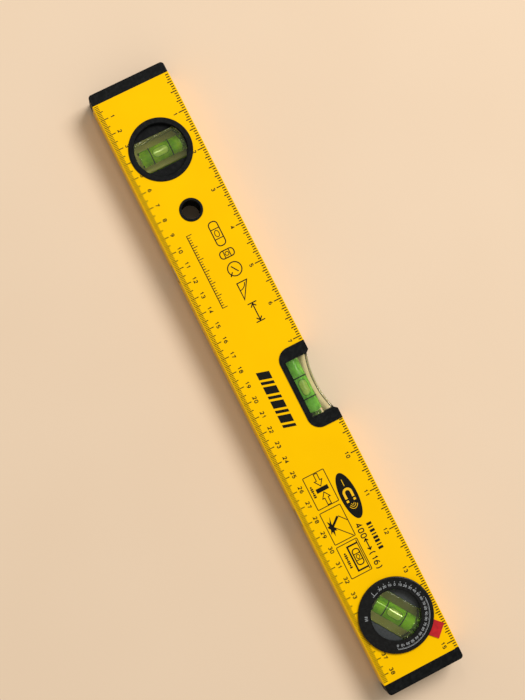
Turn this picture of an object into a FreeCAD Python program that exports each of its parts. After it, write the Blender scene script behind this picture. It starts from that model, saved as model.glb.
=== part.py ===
import FreeCAD, Part
import math
import os

import Sketcher

# A box-section spirit level with a plumb vial, an edge vial and a vial in a turning dial.
#
# It lies on its back. +X runs along it towards the dial, +Y is its top edge and +Z comes out
# of its printed face. The origin is under the middle of its box. Every body is modelled about
# the mid-plane of the profile, and its Placement lifts it by mid_height. Millimetres, degrees.

SIZES = [
    # the aluminium profile
    ("overall_length", 400.0, "over both end caps"),
    ("profile_depth", 50.5, "base edge to top edge"),
    ("profile_thickness", 20.0, "front face to back face"),
    ("face_wall", 1.5, "wall of the front and back faces"),
    ("edge_wall", 2.0, "wall of the base and top edges"),
    ("profile_corner", 0.5, "radius along the four long edges"),
    ("back_rim", 0.8, "how far the back rims stand off the back face"),
    ("seat_clearance", 0.1, "gap round a fixed piece in its seat"),
    ("seam_gap", 0.2, "gap between two halves that meet at the mid-plane"),
    # end caps
    ("cap_plate", 7.1, "visible thickness of an end cap"),
    ("cap_inset", 0.2, "cap outline inside the profile outline"),
    ("cap_corner", 2.2, "corner radius of the cap, seen from the front"),
    ("cap_edge", 0.5, "radius round the cap's outer face"),
    ("cap_plug", 9.0, "length of the plug inside the profile"),
    ("cap_plug_wall", 1.8, "wall of the hollow plug"),
    # round vial units, shared by the plumb unit and the dial
    ("block_flat_drop", 6.6, "how far each flat of a round vial block is cut in from its round"),
    ("block_setback", 1.8, "a round block's faces below the profile's faces"),
    ("block_edge", 0.7, "radius round a vial block's faces"),
    ("barrel_radius", 5.1, "bore of a round block"),
    ("barrel_end_wall", 3.2, "acrylic left at the blind end of a round block's bore"),
    ("plug_length", 2.2, "stopper in the mouth of the bore"),
    ("plug_inset", 0.2, "stopper inside the round at the bore's mouth"),
    ("floor_recess", 2.6, "from the front face down to the black floors"),
    ("floor_thickness", 1.4, "the two floors beside the block"),
    ("lip_thickness", 1.5, "lip over the block's round ends, below the face"),
    ("cheek_length", 20.0, "walls along the block's flats"),
    ("cheek_wall", 1.2, "their thickness"),
    ("snap_stand_off", 1.9, "middle of a snap post from the cheek beside it"),
    ("snap_radius", 1.1, "snap posts"),
    ("snap_reach", 3.0, "how far a post passes the mid-plane"),
    ("socket_wall", 0.9, "wall of a snap socket"),
    ("rim_break", 0.5, "bevel round a window"),
    # plumb unit
    ("plumb_from_end", 47.8, "middle of the plumb unit from the left end"),
    ("plumb_angle", 90.0, "vial axis from +X"),
    ("plumb_skirt_wall", 1.2, "wall of the bezel's skirt, in the hole"),
    ("plumb_rim_lap", 1.45, "how far the bezel covers the face round its hole"),
    ("plumb_window_lap", 0.7, "how far the bezel's lip covers the block's round ends"),
    ("plumb_proud", 0.6, "front bezel off the face"),
    ("plumb_rim_edge", 0.4, "radius of the bezel's outer edge"),
    # hanging hole
    ("hang_from_end", 88.3, "middle of the hanging hole from the left end"),
    ("hang_bore_radius", 5.8, "clear bore"),
    ("hang_sleeve_wall", 0.7, "wall of the sleeve"),
    ("hang_rim_lap", 0.6, "how far the flange covers the face round its hole"),
    ("hang_proud", 0.5, "front flange off the face"),
    ("hang_rim_edge", 0.35, "radius of the flange's outer edge"),
    # dial
    ("dial_from_end", 41.2, "middle of the dial from the right end"),
    ("dial_angle", 33.0, "vial axis from +X at rest"),
    ("dial_margin", 2.4, "from the profile's edges to the dial ring"),
    ("dial_rim_lap", 1.65, "how far the dial ring covers the face round its hole"),
    ("dial_skirt_wall", 3.42, "wall of the dial's skirt, round the block"),
    ("dial_window_lap", 1.4, "how far the dial's lip covers the block's round ends"),
    ("dial_rim_front", 1.0, "thickness of the front ring"),
    ("dial_rim_edge", 0.7, "radius of the front ring's outer edge"),
    ("scale_margin", 2.1, "dial ring outside the sunk band that carries its scale"),
    ("scale_recess", 0.15, "depth of that band"),
    ("dial_play", 0.08, "running clearance of the dial, all ways"),
    ("friction_cord", 1.2, "section of the friction ring"),
    ("friction_height", 3.0, "friction ring above the mid-plane"),
    # fixed collar that the dial turns in, with its red index
    ("collar_wall", 0.9, "wall of the collar"),
    ("collar_flange", 0.6, "flange and index tab off the face"),
    ("collar_flange_inset", 0.6, "flange inside the dial ring's edge"),
    ("index_angle", 44.0, "direction of the index from +X"),
    ("index_length", 6.15, "how far the index reaches past the dial ring"),
    ("index_width", 9.6, "across the index"),
    ("index_peg_inset", 3.0, "locating peg in from the end of the index"),
    ("index_peg_radius", 1.5, "locating peg"),
    # edge vial in the top edge
    ("notch_offset", 13.8, "middle of the edge vial from the profile's middle"),
    ("frame_end", 7.9, "frame at each end of the window, over its flanges"),
    ("frame_depth", 19.7, "frame from the top edge down"),
    ("frame_corner", 8.0, "radius of the frame's lower corners"),
    ("frame_lip", 1.0, "overlap of the flanges on the faces"),
    ("frame_proud", 0.4, "flanges off the faces"),
    ("frame_setback", 0.2, "frame top below the working edge"),
    ("window_width", 36.2, "between the end pieces"),
    ("window_bar", 3.4, "bar below the window"),
    ("window_flare", 1.5, "widening of the window at its mouth"),
    ("window_flare_depth", 1.8, "height of that widening"),
    ("edge_block_end", 1.8, "how far the block runs behind each end piece"),
    ("edge_block_under", 1.2, "how far the block runs behind the bar"),
    ("edge_block_setback", 2.0, "the edge block's faces below the profile's faces"),
    ("edge_block_inset", 1.7, "ends of the block's hollow top below the edge"),
    ("edge_block_sag", 3.0, "depth of the hollow top"),
    ("edge_barrel_radius", 4.3, "bore of the edge block"),
    ("edge_barrel_wall", 1.2, "acrylic left at the blind end of the bore"),
    # what is inside the bores
    ("liquid_gap", 0.15, "liquid to bore, where the marked lines are"),
    ("line_width", 0.45, "marked lines"),
    ("line_film", 0.1, "their thickness"),
    ("line_spacing", 12.9, "between the lines of a round vial"),
    ("edge_line_spacing", 14.0, "between the lines of the edge vial"),
    ("bubble_gap", 0.05, "bubble to liquid"),
    ("bubble_flat", 0.4, "how much of a bubble's crown the wall of the bore flattens"),
    ("bubble_length", 10.0, "in a round vial"),
    ("bubble_width", 5.8, "in a round vial"),
    ("bubble_height", 3.4, "in a round vial"),
    ("edge_bubble_length", 10.2, "in the edge vial"),
    ("edge_bubble_width", 5.2, "in the edge vial"),
    ("edge_bubble_height", 3.0, "in the edge vial"),
    # magnets in the base edge
    ("magnet_offset", 82.0, "each magnet from the profile's middle"),
    ("magnet_radius", 5.0, "magnet disc"),
    ("magnet_thickness", 4.0, "magnet disc"),
    ("magnet_setback", 0.1, "magnets below the base edge"),
    ("cup_wall", 0.9, "wall of a magnet cup"),
    ("cup_floor", 1.0, "floor of a magnet cup"),
]

OVERSHOOT = 2.0  # how far a cut starts outside the solid
TOP, RIGHT = (0, 0, 1), (1, 0, 0)


class Size:
    """A size as a number and as the spreadsheet formula that gives it."""

    def __init__(self, number, formula):
        self.number = float(number)
        self.formula = formula

    def __add__(self, other):
        other = size(other)
        return Size(self.number + other.number, f"({self.formula} + {other.formula})")

    def __sub__(self, other):
        other = size(other)
        return Size(self.number - other.number, f"({self.formula} - {other.formula})")

    def __mul__(self, factor):
        factor = size(factor)
        return Size(self.number * factor.number, f"({self.formula} * {factor.formula})")

    def __truediv__(self, divisor):
        divisor = size(divisor)
        return Size(self.number / divisor.number, f"({self.formula} / {divisor.formula})")

    def __neg__(self):
        return Size(-self.number, f"(-1 * {self.formula})")

    def root(self):
        """The square root of this product."""
        return Size(math.sqrt(self.number), f"sqrt({self.formula})")

    def along(self, angle):
        """This length's share along a line at the angle."""
        return Size(self.number * math.cos(math.radians(angle.number)),
                    f"({self.formula} * cos({angle.formula}))")

    def across(self, angle):
        """This length's share across a line at the angle."""
        return Size(self.number * math.sin(math.radians(angle.number)),
                    f"({self.formula} * sin({angle.formula}))")


def size(value):
    """A bare number as a Size; a Size as it is."""
    return value if isinstance(value, Size) else Size(value, repr(float(value)))


class Sizes:
    """The driving sizes, read by name, and the heights and places worked out from them."""

    def __init__(self, doc):
        sheet = doc.addObject("Spreadsheet::Sheet", "sizes")
        for row, (name, number, meaning) in enumerate(SIZES, start=1):
            sheet.set(f"A{row}", name)
            sheet.set(f"B{row}", str(number))
            sheet.set(f"C{row}", meaning)
            sheet.setAlias(f"B{row}", name)
            setattr(self, name, Size(number, f"sizes.{name}"))
        self.zero = size(0)
        self.square = size(90)
        self.mid_height = self.back_rim + self.profile_thickness / 2
        self.face = self.profile_thickness / 2
        self.edge = self.profile_depth / 2
        self.seam = self.seam_gap / 2
        self.profile_length = self.overall_length - self.cap_plate * 2
        self.plumb_x = self.plumb_from_end - self.overall_length / 2
        self.hang_x = self.hang_from_end - self.overall_length / 2
        self.dial_x = self.overall_length / 2 - self.dial_from_end
        self.dial_rim_radius = self.edge - self.dial_margin
        self.dial_hole_radius = self.dial_rim_radius - self.dial_rim_lap
        self.collar_flange_radius = self.dial_rim_radius - self.collar_flange_inset
        self.collar_bore = self.dial_hole_radius - self.seat_clearance - self.collar_wall
        self.dial_skirt_radius = self.collar_bore - self.dial_play
        self.chamber_radius = self.dial_skirt_radius - self.dial_skirt_wall
        self.block_radius = self.chamber_radius - self.seat_clearance
        self.block_width = (self.block_radius - self.block_flat_drop) * 2
        self.block_thickness = self.profile_thickness - self.block_setback * 2
        self.barrel_reach = self.block_radius - self.barrel_end_wall
        self.barrel_mouth = (self.block_radius * self.block_radius
                             - self.barrel_radius * self.barrel_radius).root()
        self.plug_start = self.barrel_mouth - self.plug_inset - self.plug_length
        self.snap_offset = (self.block_width / 2 + self.seat_clearance + self.cheek_wall
                            + self.snap_stand_off)
        self.dial_window_radius = self.block_radius - self.dial_window_lap
        self.index_reach = self.dial_rim_radius + self.index_length
        self.index_peg_offset = self.index_reach - self.index_peg_inset
        self.plumb_skirt_radius = self.chamber_radius + self.plumb_skirt_wall
        self.plumb_hole_radius = self.plumb_skirt_radius + self.seat_clearance
        self.plumb_rim_radius = self.plumb_hole_radius + self.plumb_rim_lap
        self.plumb_window_radius = self.block_radius - self.plumb_window_lap
        self.hang_tube_radius = self.hang_bore_radius + self.hang_sleeve_wall
        self.hang_hole_radius = self.hang_tube_radius + self.seat_clearance
        self.hang_rim_radius = self.hang_hole_radius + self.hang_rim_lap
        self.frame_width = self.window_width + self.frame_end * 2
        self.frame_bottom = self.edge - self.frame_depth
        self.frame_top = self.edge - self.frame_setback
        self.window_bottom = self.frame_bottom + self.window_bar
        self.edge_block_bottom = self.window_bottom - self.edge_block_under
        self.edge_block_half = self.window_width / 2 + self.edge_block_end
        self.edge_block_thickness = self.profile_thickness - self.edge_block_setback * 2
        self.edge_barrel_y = self.window_bottom + self.edge_barrel_radius
        self.edge_barrel_start = self.edge_barrel_wall - self.edge_block_half
        self.edge_plug_start = self.window_width / 2 - self.plug_length


# ---- drawing and feature helpers ----

def new_body(doc, label):
    body = doc.addObject("PartDesign::Body", label)
    body.Label = label
    return body


def place(piece, s, x=None, y=None, angle=None):
    """Lift a piece to the mid-plane, move it along the level and turn it about Z."""
    piece.setExpression("Placement.Base.z", s.mid_height.formula)
    if x is not None:
        piece.setExpression("Placement.Base.x", x.formula)
    if y is not None:
        piece.setExpression("Placement.Base.y", y.formula)
    if angle is not None:
        piece.setExpression("Placement.Rotation.Angle", angle.formula)
    return piece


def sketch(body, role, name, offset=None):
    """An empty sketch on one of the body's own origin planes, moved along its normal."""
    planes = [item for item in body.Origin.OriginFeatures if item.Role == role]
    drawn = body.newObject("Sketcher::SketchObject", name)
    drawn.AttachmentSupport = [(planes[0], "")]
    drawn.MapMode = "FlatFace"
    if offset is not None:
        drawn.setExpression("AttachmentOffset.Base.z", offset.formula)
    return drawn


def bind(drawn, kind, *where):
    """Add one constraint whose last item is a Size."""
    *places, value = where
    index = drawn.addConstraint(Sketcher.Constraint(kind, *places, value.number))
    drawn.setExpression(f"Constraints[{index}]", value.formula)


def pin(drawn, item, point, x, y):
    """Fix one point of a drawn item by its two distances from the sketch's origin."""
    bind(drawn, "DistanceX", -1, 1, item, point, x)
    bind(drawn, "DistanceY", -1, 1, item, point, y)


def circle(drawn, radius, x, y):
    middle = FreeCAD.Vector(x.number, y.number, 0)
    item = drawn.addGeometry(Part.Circle(middle, FreeCAD.Vector(0, 0, 1), radius.number), False)
    pin(drawn, item, 3, x, y)
    bind(drawn, "Radius", item, radius)


def outline(drawn, corners):
    """A closed outline of straight lines through the corners, each an (x, y) pair of sizes."""
    points = [FreeCAD.Vector(x.number, y.number, 0) for x, y in corners]
    items = []
    for start, end in zip(points, points[1:] + points[:1]):
        items.append(drawn.addGeometry(Part.LineSegment(start, end), False))
    for item, follower in zip(items, items[1:] + items[:1]):
        drawn.addConstraint(Sketcher.Constraint("Coincident", item, 2, follower, 1))
    for item, (x, y) in zip(items, corners):
        pin(drawn, item, 1, x, y)


def rectangle(drawn, left, right, low, high):
    outline(drawn, [(left, low), (right, low), (right, high), (left, high)])


def segment(drawn, radius, chord, side):
    """The part of a disc beyond a chord above (side 1) or below (side -1) its middle."""
    half = math.sqrt(radius.number ** 2 - chord.number ** 2)
    start = math.atan2(side * chord.number, side * half)
    end = math.atan2(side * chord.number, -side * half)
    disc = Part.Circle(FreeCAD.Vector(0, 0, 0), FreeCAD.Vector(0, 0, 1), radius.number)
    arc = drawn.addGeometry(Part.ArcOfCircle(disc, start, end), False)
    left = FreeCAD.Vector(side * half, side * chord.number, 0)
    right = FreeCAD.Vector(-side * half, side * chord.number, 0)
    line = drawn.addGeometry(Part.LineSegment(right, left), False)
    drawn.addConstraint(Sketcher.Constraint("Coincident", arc, 3, -1, 1))
    drawn.addConstraint(Sketcher.Constraint("Coincident", arc, 1, line, 2))
    drawn.addConstraint(Sketcher.Constraint("Coincident", arc, 2, line, 1))
    drawn.addConstraint(Sketcher.Constraint("Horizontal", line))
    bind(drawn, "Radius", arc, radius)
    bind(drawn, "DistanceY", -1, 1, line, 1, chord * side)


def pad(body, drawn, length, both_ways=False):
    """Raise a sketch along its normal, or half each way."""
    feature = body.newObject("PartDesign::Pad", drawn.Name + "_pad")
    feature.Profile = drawn
    feature.setExpression("Length", length.formula)
    if both_ways:
        feature.SideType = "Symmetric"
    body.Document.recompute()
    return feature


def pocket(body, drawn, length=None, forwards=False):
    """Cut a sketch against its normal, or forwards along it; right through without a length."""
    before = body.Shape.Volume
    feature = body.newObject("PartDesign::Pocket", drawn.Name + "_pocket")
    feature.Profile = drawn
    feature.Reversed = forwards
    if length is None:
        feature.Type = "ThroughAll"
    else:
        feature.setExpression("Length", length.formula)
    body.Document.recompute()
    must_have_cut(body, feature, before)
    return feature


def groove(body, drawn):
    """Turn a sketch about its own vertical axis and cut it away."""
    before = body.Shape.Volume
    feature = body.newObject("PartDesign::Groove", drawn.Name + "_groove")
    feature.Profile = drawn
    feature.ReferenceAxis = (drawn, ["V_Axis"])
    body.Document.recompute()
    must_have_cut(body, feature, before)
    return feature


def must_have_cut(body, feature, before):
    if body.Shape.Volume > before - 1e-3:
        raise RuntimeError(f"{feature.Name} cuts nothing from {body.Label}")


def dress(body, kind, value, test):
    """Fillet or chamfer the edges of the body's last feature that pass the test."""
    last = body.Tip
    names = [f"Edge{n}" for n, item in enumerate(last.Shape.Edges, start=1) if test(item)]
    if not names:
        raise RuntimeError(f"no edge of {body.Label} to {kind.lower()}")
    feature = body.newObject(f"PartDesign::{kind}", f"{body.Name}_{kind.lower()}")
    feature.Base = (last, names)
    feature.setExpression("Radius" if kind == "Fillet" else "Size", value.formula)
    body.Document.recompute()
    return feature


def runs_along(item, axis):
    """Is this edge a straight line along the axis?"""
    if not isinstance(item.Curve, Part.Line):
        return False
    return abs(abs(item.Curve.Direction.dot(FreeCAD.Vector(*axis))) - 1) < 1e-6


def lies_at(item, **limits):
    """Is all of this edge at each given coordinate, such as XMax=3?"""
    box = item.BoundBox
    for name, value in limits.items():
        low, high = getattr(box, name[0] + "Min"), getattr(box, name[0] + "Max")
        if abs(low - value.number) > 0.01 or abs(high - value.number) > 0.01:
            return False
    return True


def is_ring(item, radius, height):
    """Is this edge a circle of the radius about Z at the height?"""
    round_edge = isinstance(item.Curve, Part.Circle)
    return round_edge and abs(item.Curve.Radius - radius.number) < 0.01 and lies_at(item, Z=height)


def tier(body, name, low, high, side, draw):
    """One flat-ended layer from low to high above the mid-plane; below it when side is -1."""
    bottom = low if side > 0 else -high
    drawn = sketch(body, "XY_Plane", name, bottom)
    draw(drawn)
    return pad(body, drawn, high - low)


def disc(radius):
    """Draws a disc about the origin."""
    return lambda drawn: circle(drawn, radius, size(0), size(0))


def annulus(outer, inner):
    """Draws a ring about the origin."""
    def draw(drawn):
        circle(drawn, outer, size(0), size(0))
        circle(drawn, inner, size(0), size(0))
    return draw


# ---- the profile and its end caps ----

def profile(doc, s):
    """The aluminium box section with its holes, its notch and its magnet seats."""
    body = new_body(doc, "profile")
    section = sketch(body, "YZ_Plane", "profile_section")
    rectangle(section, -s.edge, s.edge, -s.face, s.face)
    hollow_y, hollow_z = s.edge - s.edge_wall, s.face - s.face_wall
    rectangle(section, -hollow_y, hollow_y, -hollow_z, hollow_z)
    pad(body, section, s.profile_length, both_ways=True)
    dress(body, "Fillet", s.profile_corner, lambda item: runs_along(item, RIGHT)
          and abs(abs(item.CenterOfMass.y) - s.edge.number) < 0.01)

    above = s.face + OVERSHOOT
    holes = sketch(body, "XY_Plane", "profile_holes", above)
    circle(holes, s.plumb_hole_radius, s.plumb_x, s.zero)
    circle(holes, s.hang_hole_radius, s.hang_x, s.zero)
    circle(holes, s.dial_hole_radius, s.dial_x, s.zero)
    pocket(body, holes)

    peg_hole = sketch(body, "XY_Plane", "profile_peg_hole", above)
    circle(peg_hole, s.index_peg_radius + s.seat_clearance,
           s.dial_x + s.index_peg_offset.along(s.index_angle),
           s.index_peg_offset.across(s.index_angle))
    pocket(body, peg_hole, s.face_wall + OVERSHOOT * 2)

    notch = sketch(body, "XY_Plane", "profile_notch", above)
    half = s.frame_width / 2 - s.frame_lip
    bottom = s.frame_bottom + s.frame_lip
    rectangle(notch, s.notch_offset - half, s.notch_offset + half, bottom, s.edge + OVERSHOOT)
    pocket(body, notch)
    dress(body, "Fillet", s.frame_corner - s.frame_lip, lambda item: runs_along(item, TOP)
          and lies_at(item, Y=bottom))

    seats = sketch(body, "XZ_Plane", "profile_magnet_seats", s.edge + OVERSHOOT)
    cup_radius = s.magnet_radius + s.cup_wall + s.seat_clearance * 2
    circle(seats, cup_radius, -s.magnet_offset, s.zero)
    circle(seats, cup_radius, s.magnet_offset, s.zero)
    pocket(body, seats, s.edge_wall + OVERSHOOT * 2)
    return place(body, s)


def end_cap(doc, s, label, end):
    """A moulded cap; its plate is outside and its hollow plug inside the profile."""
    body = new_body(doc, label)
    plate = sketch(body, "YZ_Plane", label + "_plate")
    plate_y, plate_z = s.edge - s.cap_inset, s.face - s.cap_inset
    rectangle(plate, -plate_y, plate_y, -plate_z, plate_z)
    pad(body, plate, s.cap_plate)

    plug = sketch(body, "YZ_Plane", label + "_plug", -s.cap_plug)
    plug_y = s.edge - s.edge_wall - s.seat_clearance
    plug_z = s.face - s.face_wall - s.seat_clearance
    rectangle(plug, -plug_y, plug_y, -plug_z, plug_z)
    pad(body, plug, s.cap_plug)

    hollow = sketch(body, "YZ_Plane", label + "_hollow", -s.cap_plug - OVERSHOOT)
    hollow_y, hollow_z = plug_y - s.cap_plug_wall, plug_z - s.cap_plug_wall
    rectangle(hollow, -hollow_y, hollow_y, -hollow_z, hollow_z)
    pocket(body, hollow, s.cap_plug + OVERSHOOT, forwards=True)

    dress(body, "Fillet", s.cap_corner, lambda item: runs_along(item, TOP)
          and lies_at(item, X=s.cap_plate))
    dress(body, "Fillet", s.cap_edge, lambda item: abs(abs(item.CenterOfMass.z)
          - plate_z.number) < 0.01 and item.BoundBox.XMin > 0.01)
    angle = size(0) if end > 0 else size(180)
    return place(body, s, x=s.profile_length / 2 * end, angle=angle)


# ---- round housings: the plumb bezels and the dial rings ----

def housing(doc, s, label, side, radii, rim_low, rim_high, rim_edge):
    """Half of a round vial housing: rim, skirt, lip, two floors and snap posts or sockets.

    radii are the rim's outside, the window and the skirt's outside. The front half (side 1)
    carries posts and the back half (side -1) the sockets that take them.
    """
    rim, window, skirt = radii
    body = new_body(doc, label)
    lip_low = s.face - s.lip_thickness
    floor_high = s.face - s.floor_recess
    floor_low = floor_high - s.floor_thickness
    flat = s.block_width / 2 + s.seat_clearance

    tier(body, label + "_skirt", s.seam, lip_low, side, annulus(skirt, s.chamber_radius))
    tier(body, label + "_lip", lip_low, rim_low, side, annulus(skirt, window))
    tier(body, label + "_rim", rim_low, rim_high, side, annulus(rim, window))

    def floors(drawn):
        middle_of_skirt = (s.chamber_radius + skirt) / 2
        segment(drawn, middle_of_skirt, flat, 1)
        segment(drawn, middle_of_skirt, flat, -1)
    tier(body, label + "_floors", floor_low, floor_high, side, floors)

    def cheeks(drawn):
        reach = s.cheek_length / 2
        rectangle(drawn, -reach, reach, flat, flat + s.cheek_wall)
        rectangle(drawn, -reach, reach, -flat - s.cheek_wall, -flat)
    tier(body, label + "_cheeks", s.seam, floor_low, side, cheeks)

    def posts(drawn):
        circle(drawn, s.snap_radius, s.zero, s.snap_offset)
        circle(drawn, s.snap_radius, s.zero, -s.snap_offset)

    def sockets(drawn):
        bore = s.snap_radius + s.seat_clearance
        for offset in (s.snap_offset, -s.snap_offset):
            circle(drawn, bore + s.socket_wall, s.zero, offset)
            circle(drawn, bore, s.zero, offset)
    if side > 0:
        tier(body, label + "_posts", -s.snap_reach, floor_low, side, posts)
    else:
        tier(body, label + "_sockets", s.seam, floor_low, side, sockets)

    top = rim_high * side
    dress(body, "Fillet", rim_edge, lambda item: is_ring(item, rim, top))
    dress(body, "Chamfer", s.rim_break, lambda item: is_ring(item, window, top))
    return body


def plumb_bezel(doc, s, label, side):
    """Half of the fixed housing round the plumb vial."""
    radii = (s.plumb_rim_radius, s.plumb_window_radius, s.plumb_skirt_radius)
    proud = s.plumb_proud if side > 0 else s.back_rim
    body = housing(doc, s, label, side, radii, s.face, s.face + proud, s.plumb_rim_edge)
    return place(body, s, x=s.plumb_x, angle=s.plumb_angle)


def dial_ring(doc, s, label, side):
    """Half of the turning dial, which runs in the collar with dial_play all round."""
    skirt = s.dial_skirt_radius
    radii = (s.dial_rim_radius, s.dial_window_radius, skirt)
    if side > 0:
        rim_low = s.face + s.collar_flange + s.dial_play
        rim_high = rim_low + s.dial_rim_front
        edge = s.dial_rim_edge
    else:
        rim_low = s.face + s.dial_play
        rim_high = s.face + s.back_rim
        edge = s.plumb_rim_edge
    body = housing(doc, s, label, side, radii, rim_low, rim_high, edge)
    if side > 0:
        band = sketch(body, "XY_Plane", label + "_band", rim_high + OVERSHOOT)
        disc(s.dial_rim_radius - s.scale_margin)(band)
        pocket(body, band, s.scale_recess + OVERSHOOT)
        half = s.friction_cord / 2 + s.dial_play
        seat = sketch(body, "XZ_Plane", label + "_friction_seat")
        rectangle(seat, skirt - s.friction_cord, skirt + OVERSHOOT,
                  s.friction_height - half, s.friction_height + half)
        groove(body, seat)
    return place(body, s, x=s.dial_x, angle=s.dial_angle)


def friction_ring(doc, s):
    """The rubber ring that keeps the dial where it is set."""
    ring = doc.addObject("Part::Torus", "dial_friction_ring")
    ring.Label = "dial_friction_ring"
    ring.setExpression("Radius1", (s.dial_skirt_radius - s.friction_cord / 2).formula)
    ring.setExpression("Radius2", (s.friction_cord / 2).formula)
    place(ring, s, x=s.dial_x)
    ring.setExpression("Placement.Base.z", (s.mid_height + s.friction_height).formula)
    return ring


def index_collar(doc, s):
    """The fixed collar in the dial's hole, with the red index on the face."""
    body = new_body(doc, "index_collar")
    back = s.seat_clearance - s.face
    tube = sketch(body, "XY_Plane", "collar_tube", back)
    annulus(s.dial_hole_radius - s.seat_clearance, s.collar_bore)(tube)
    pad(body, tube, s.face - back)
    tier(body, "collar_flange_ring", s.face, s.face + s.collar_flange, 1,
         annulus(s.collar_flange_radius, s.collar_bore))

    def tab(drawn):
        root = (s.collar_bore + s.collar_flange_radius) / 2
        rectangle(drawn, root, s.index_reach, -s.index_width / 2, s.index_width / 2)
    tier(body, "collar_index", s.face, s.face + s.collar_flange, 1, tab)
    tier(body, "collar_peg", s.face - s.face_wall, s.face, 1,
         lambda drawn: circle(drawn, s.index_peg_radius, s.index_peg_offset, s.zero))
    return place(body, s, x=s.dial_x, angle=s.index_angle)


def hang_sleeve(doc, s, label, side):
    """Half of the flanged sleeve that lines the hanging hole."""
    body = new_body(doc, label)
    proud = s.hang_proud if side > 0 else s.back_rim
    tier(body, label + "_tube", s.seam, s.face, side,
         annulus(s.hang_tube_radius, s.hang_bore_radius))
    tier(body, label + "_rim", s.face, s.face + proud, side,
         annulus(s.hang_rim_radius, s.hang_bore_radius))
    top = (s.face + proud) * side
    dress(body, "Fillet", s.hang_rim_edge, lambda item: is_ring(item, s.hang_rim_radius, top))
    return place(body, s, x=s.hang_x)


# ---- vials: each is modelled with its axis along X ----

def round_block(doc, s, label, x, angle):
    """A clear disc with two flats and a blind bore along X."""
    body = new_body(doc, label)
    half = s.block_thickness / 2
    face = sketch(body, "XY_Plane", label + "_face", -half)
    disc(s.block_radius)(face)
    pad(body, face, s.block_thickness)

    flats = sketch(body, "XY_Plane", label + "_flats", half + OVERSHOOT)
    flat, beyond = s.block_width / 2, s.block_radius + OVERSHOOT
    rectangle(flats, -beyond, beyond, flat, beyond)
    rectangle(flats, -beyond, beyond, -beyond, -flat)
    pocket(body, flats)
    dress(body, "Fillet", s.block_edge, lambda item: lies_at(item, Z=half)
          or lies_at(item, Z=-half))

    bore = sketch(body, "YZ_Plane", label + "_bore", beyond)
    disc(s.barrel_radius)(bore)
    pocket(body, bore, beyond + s.barrel_reach)
    return place(body, s, x=x, angle=angle)


def rod(doc, s, name, radius, start, end):
    """A cylinder along X about the vial's axis."""
    bar = doc.addObject("Part::Cylinder", name)
    bar.setExpression("Radius", radius.formula)
    bar.setExpression("Height", (end - start).formula)
    bar.Placement = FreeCAD.Placement(FreeCAD.Vector(0, 0, 0), FreeCAD.Rotation(0, 90, 0))
    bar.setExpression("Placement.Base.x", start.formula)
    return bar


def egg(doc, name, length, width, height, top):
    """An ellipsoid along X whose top is at the height given by top."""
    shape = doc.addObject("Part::Ellipsoid", name)
    shape.setExpression("Radius1", (height / 2).formula)
    shape.setExpression("Radius2", (length / 2).formula)
    shape.setExpression("Radius3", (width / 2).formula)
    shape.setExpression("Placement.Base.z", (top - height / 2).formula)
    return shape


class Vial:
    """What fills one bore: stopper, marked lines, liquid and bubble."""

    def __init__(self, doc, s, name, bore, start, stop, lines, bubble, spot):
        self.doc, self.s, self.name = doc, s, name
        self.bore, self.start, self.stop = bore, start, stop
        self.lines, self.bubble_size, self.spot = lines, bubble, spot
        self.liquid_radius = bore - s.liquid_gap

    def plug(self):
        """The stopper in the mouth of the bore."""
        s = self.s
        label = self.name + "_vial_plug"
        piece = new_body(self.doc, label)
        face = sketch(piece, "YZ_Plane", label + "_face", self.stop)
        disc(self.bore - s.seat_clearance / 2)(face)
        pad(piece, face, s.plug_length)
        return place(piece, s, **self.spot)

    def marked_lines(self):
        """Two thin black rings on the wall of the bore."""
        s = self.s
        label = self.name + "_vial_lines"
        piece = new_body(self.doc, label)
        outer = self.bore - (s.liquid_gap - s.line_film) / 2
        for number, side in enumerate((-1, 1)):
            middle = self.lines / 2 * side
            ring = sketch(piece, "YZ_Plane", f"{label}_{number}", middle - s.line_width / 2)
            annulus(outer, outer - s.line_film)(ring)
            pad(piece, ring, s.line_width)
        return place(piece, s, **self.spot)

    def bubble(self):
        """The bubble at rest, against the upper side of the bore."""
        s = self.s
        label = self.name + "_vial_bubble"
        length, width, height = self.bubble_size
        ceiling = self.liquid_radius - s.bubble_gap
        body = egg(self.doc, label + "_egg", length, width, height, self.crown())
        wall = rod(self.doc, s, label + "_wall", ceiling, self.start, self.stop)
        piece = self.doc.addObject("Part::Common", label)
        piece.Label = label
        piece.Base = body
        piece.Tool = wall
        return place(piece, s, **self.spot)

    def liquid(self):
        """The liquid, with room for the bubble."""
        s = self.s
        label = self.name + "_vial_liquid"
        length, width, height = self.bubble_size
        grow = s.bubble_gap * 2
        fill = rod(self.doc, s, label + "_fill", self.liquid_radius, self.start + s.bubble_gap,
                   self.stop - s.bubble_gap)
        room = egg(self.doc, label + "_room", length + grow, width + grow, height + grow,
                   self.crown() + s.bubble_gap)
        piece = self.doc.addObject("Part::Cut", label)
        piece.Label = label
        piece.Base = fill
        piece.Tool = room
        return place(piece, s, **self.spot)

    def crown(self):
        """Top of the bubble's full ellipsoid, a little through the wall that flattens it."""
        return self.liquid_radius + self.s.bubble_flat

    def build(self):
        return [self.plug(), self.marked_lines(), self.liquid(), self.bubble()]


def round_vial(doc, s, name, x, angle):
    """The pieces in the bore of a round block."""
    bubble = (s.bubble_length, s.bubble_width, s.bubble_height)
    spot = {"x": x, "angle": angle}
    return Vial(doc, s, name, s.barrel_radius, -s.barrel_reach, s.plug_start, s.line_spacing,
                bubble, spot).build()


# ---- the edge vial in the notch ----

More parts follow.
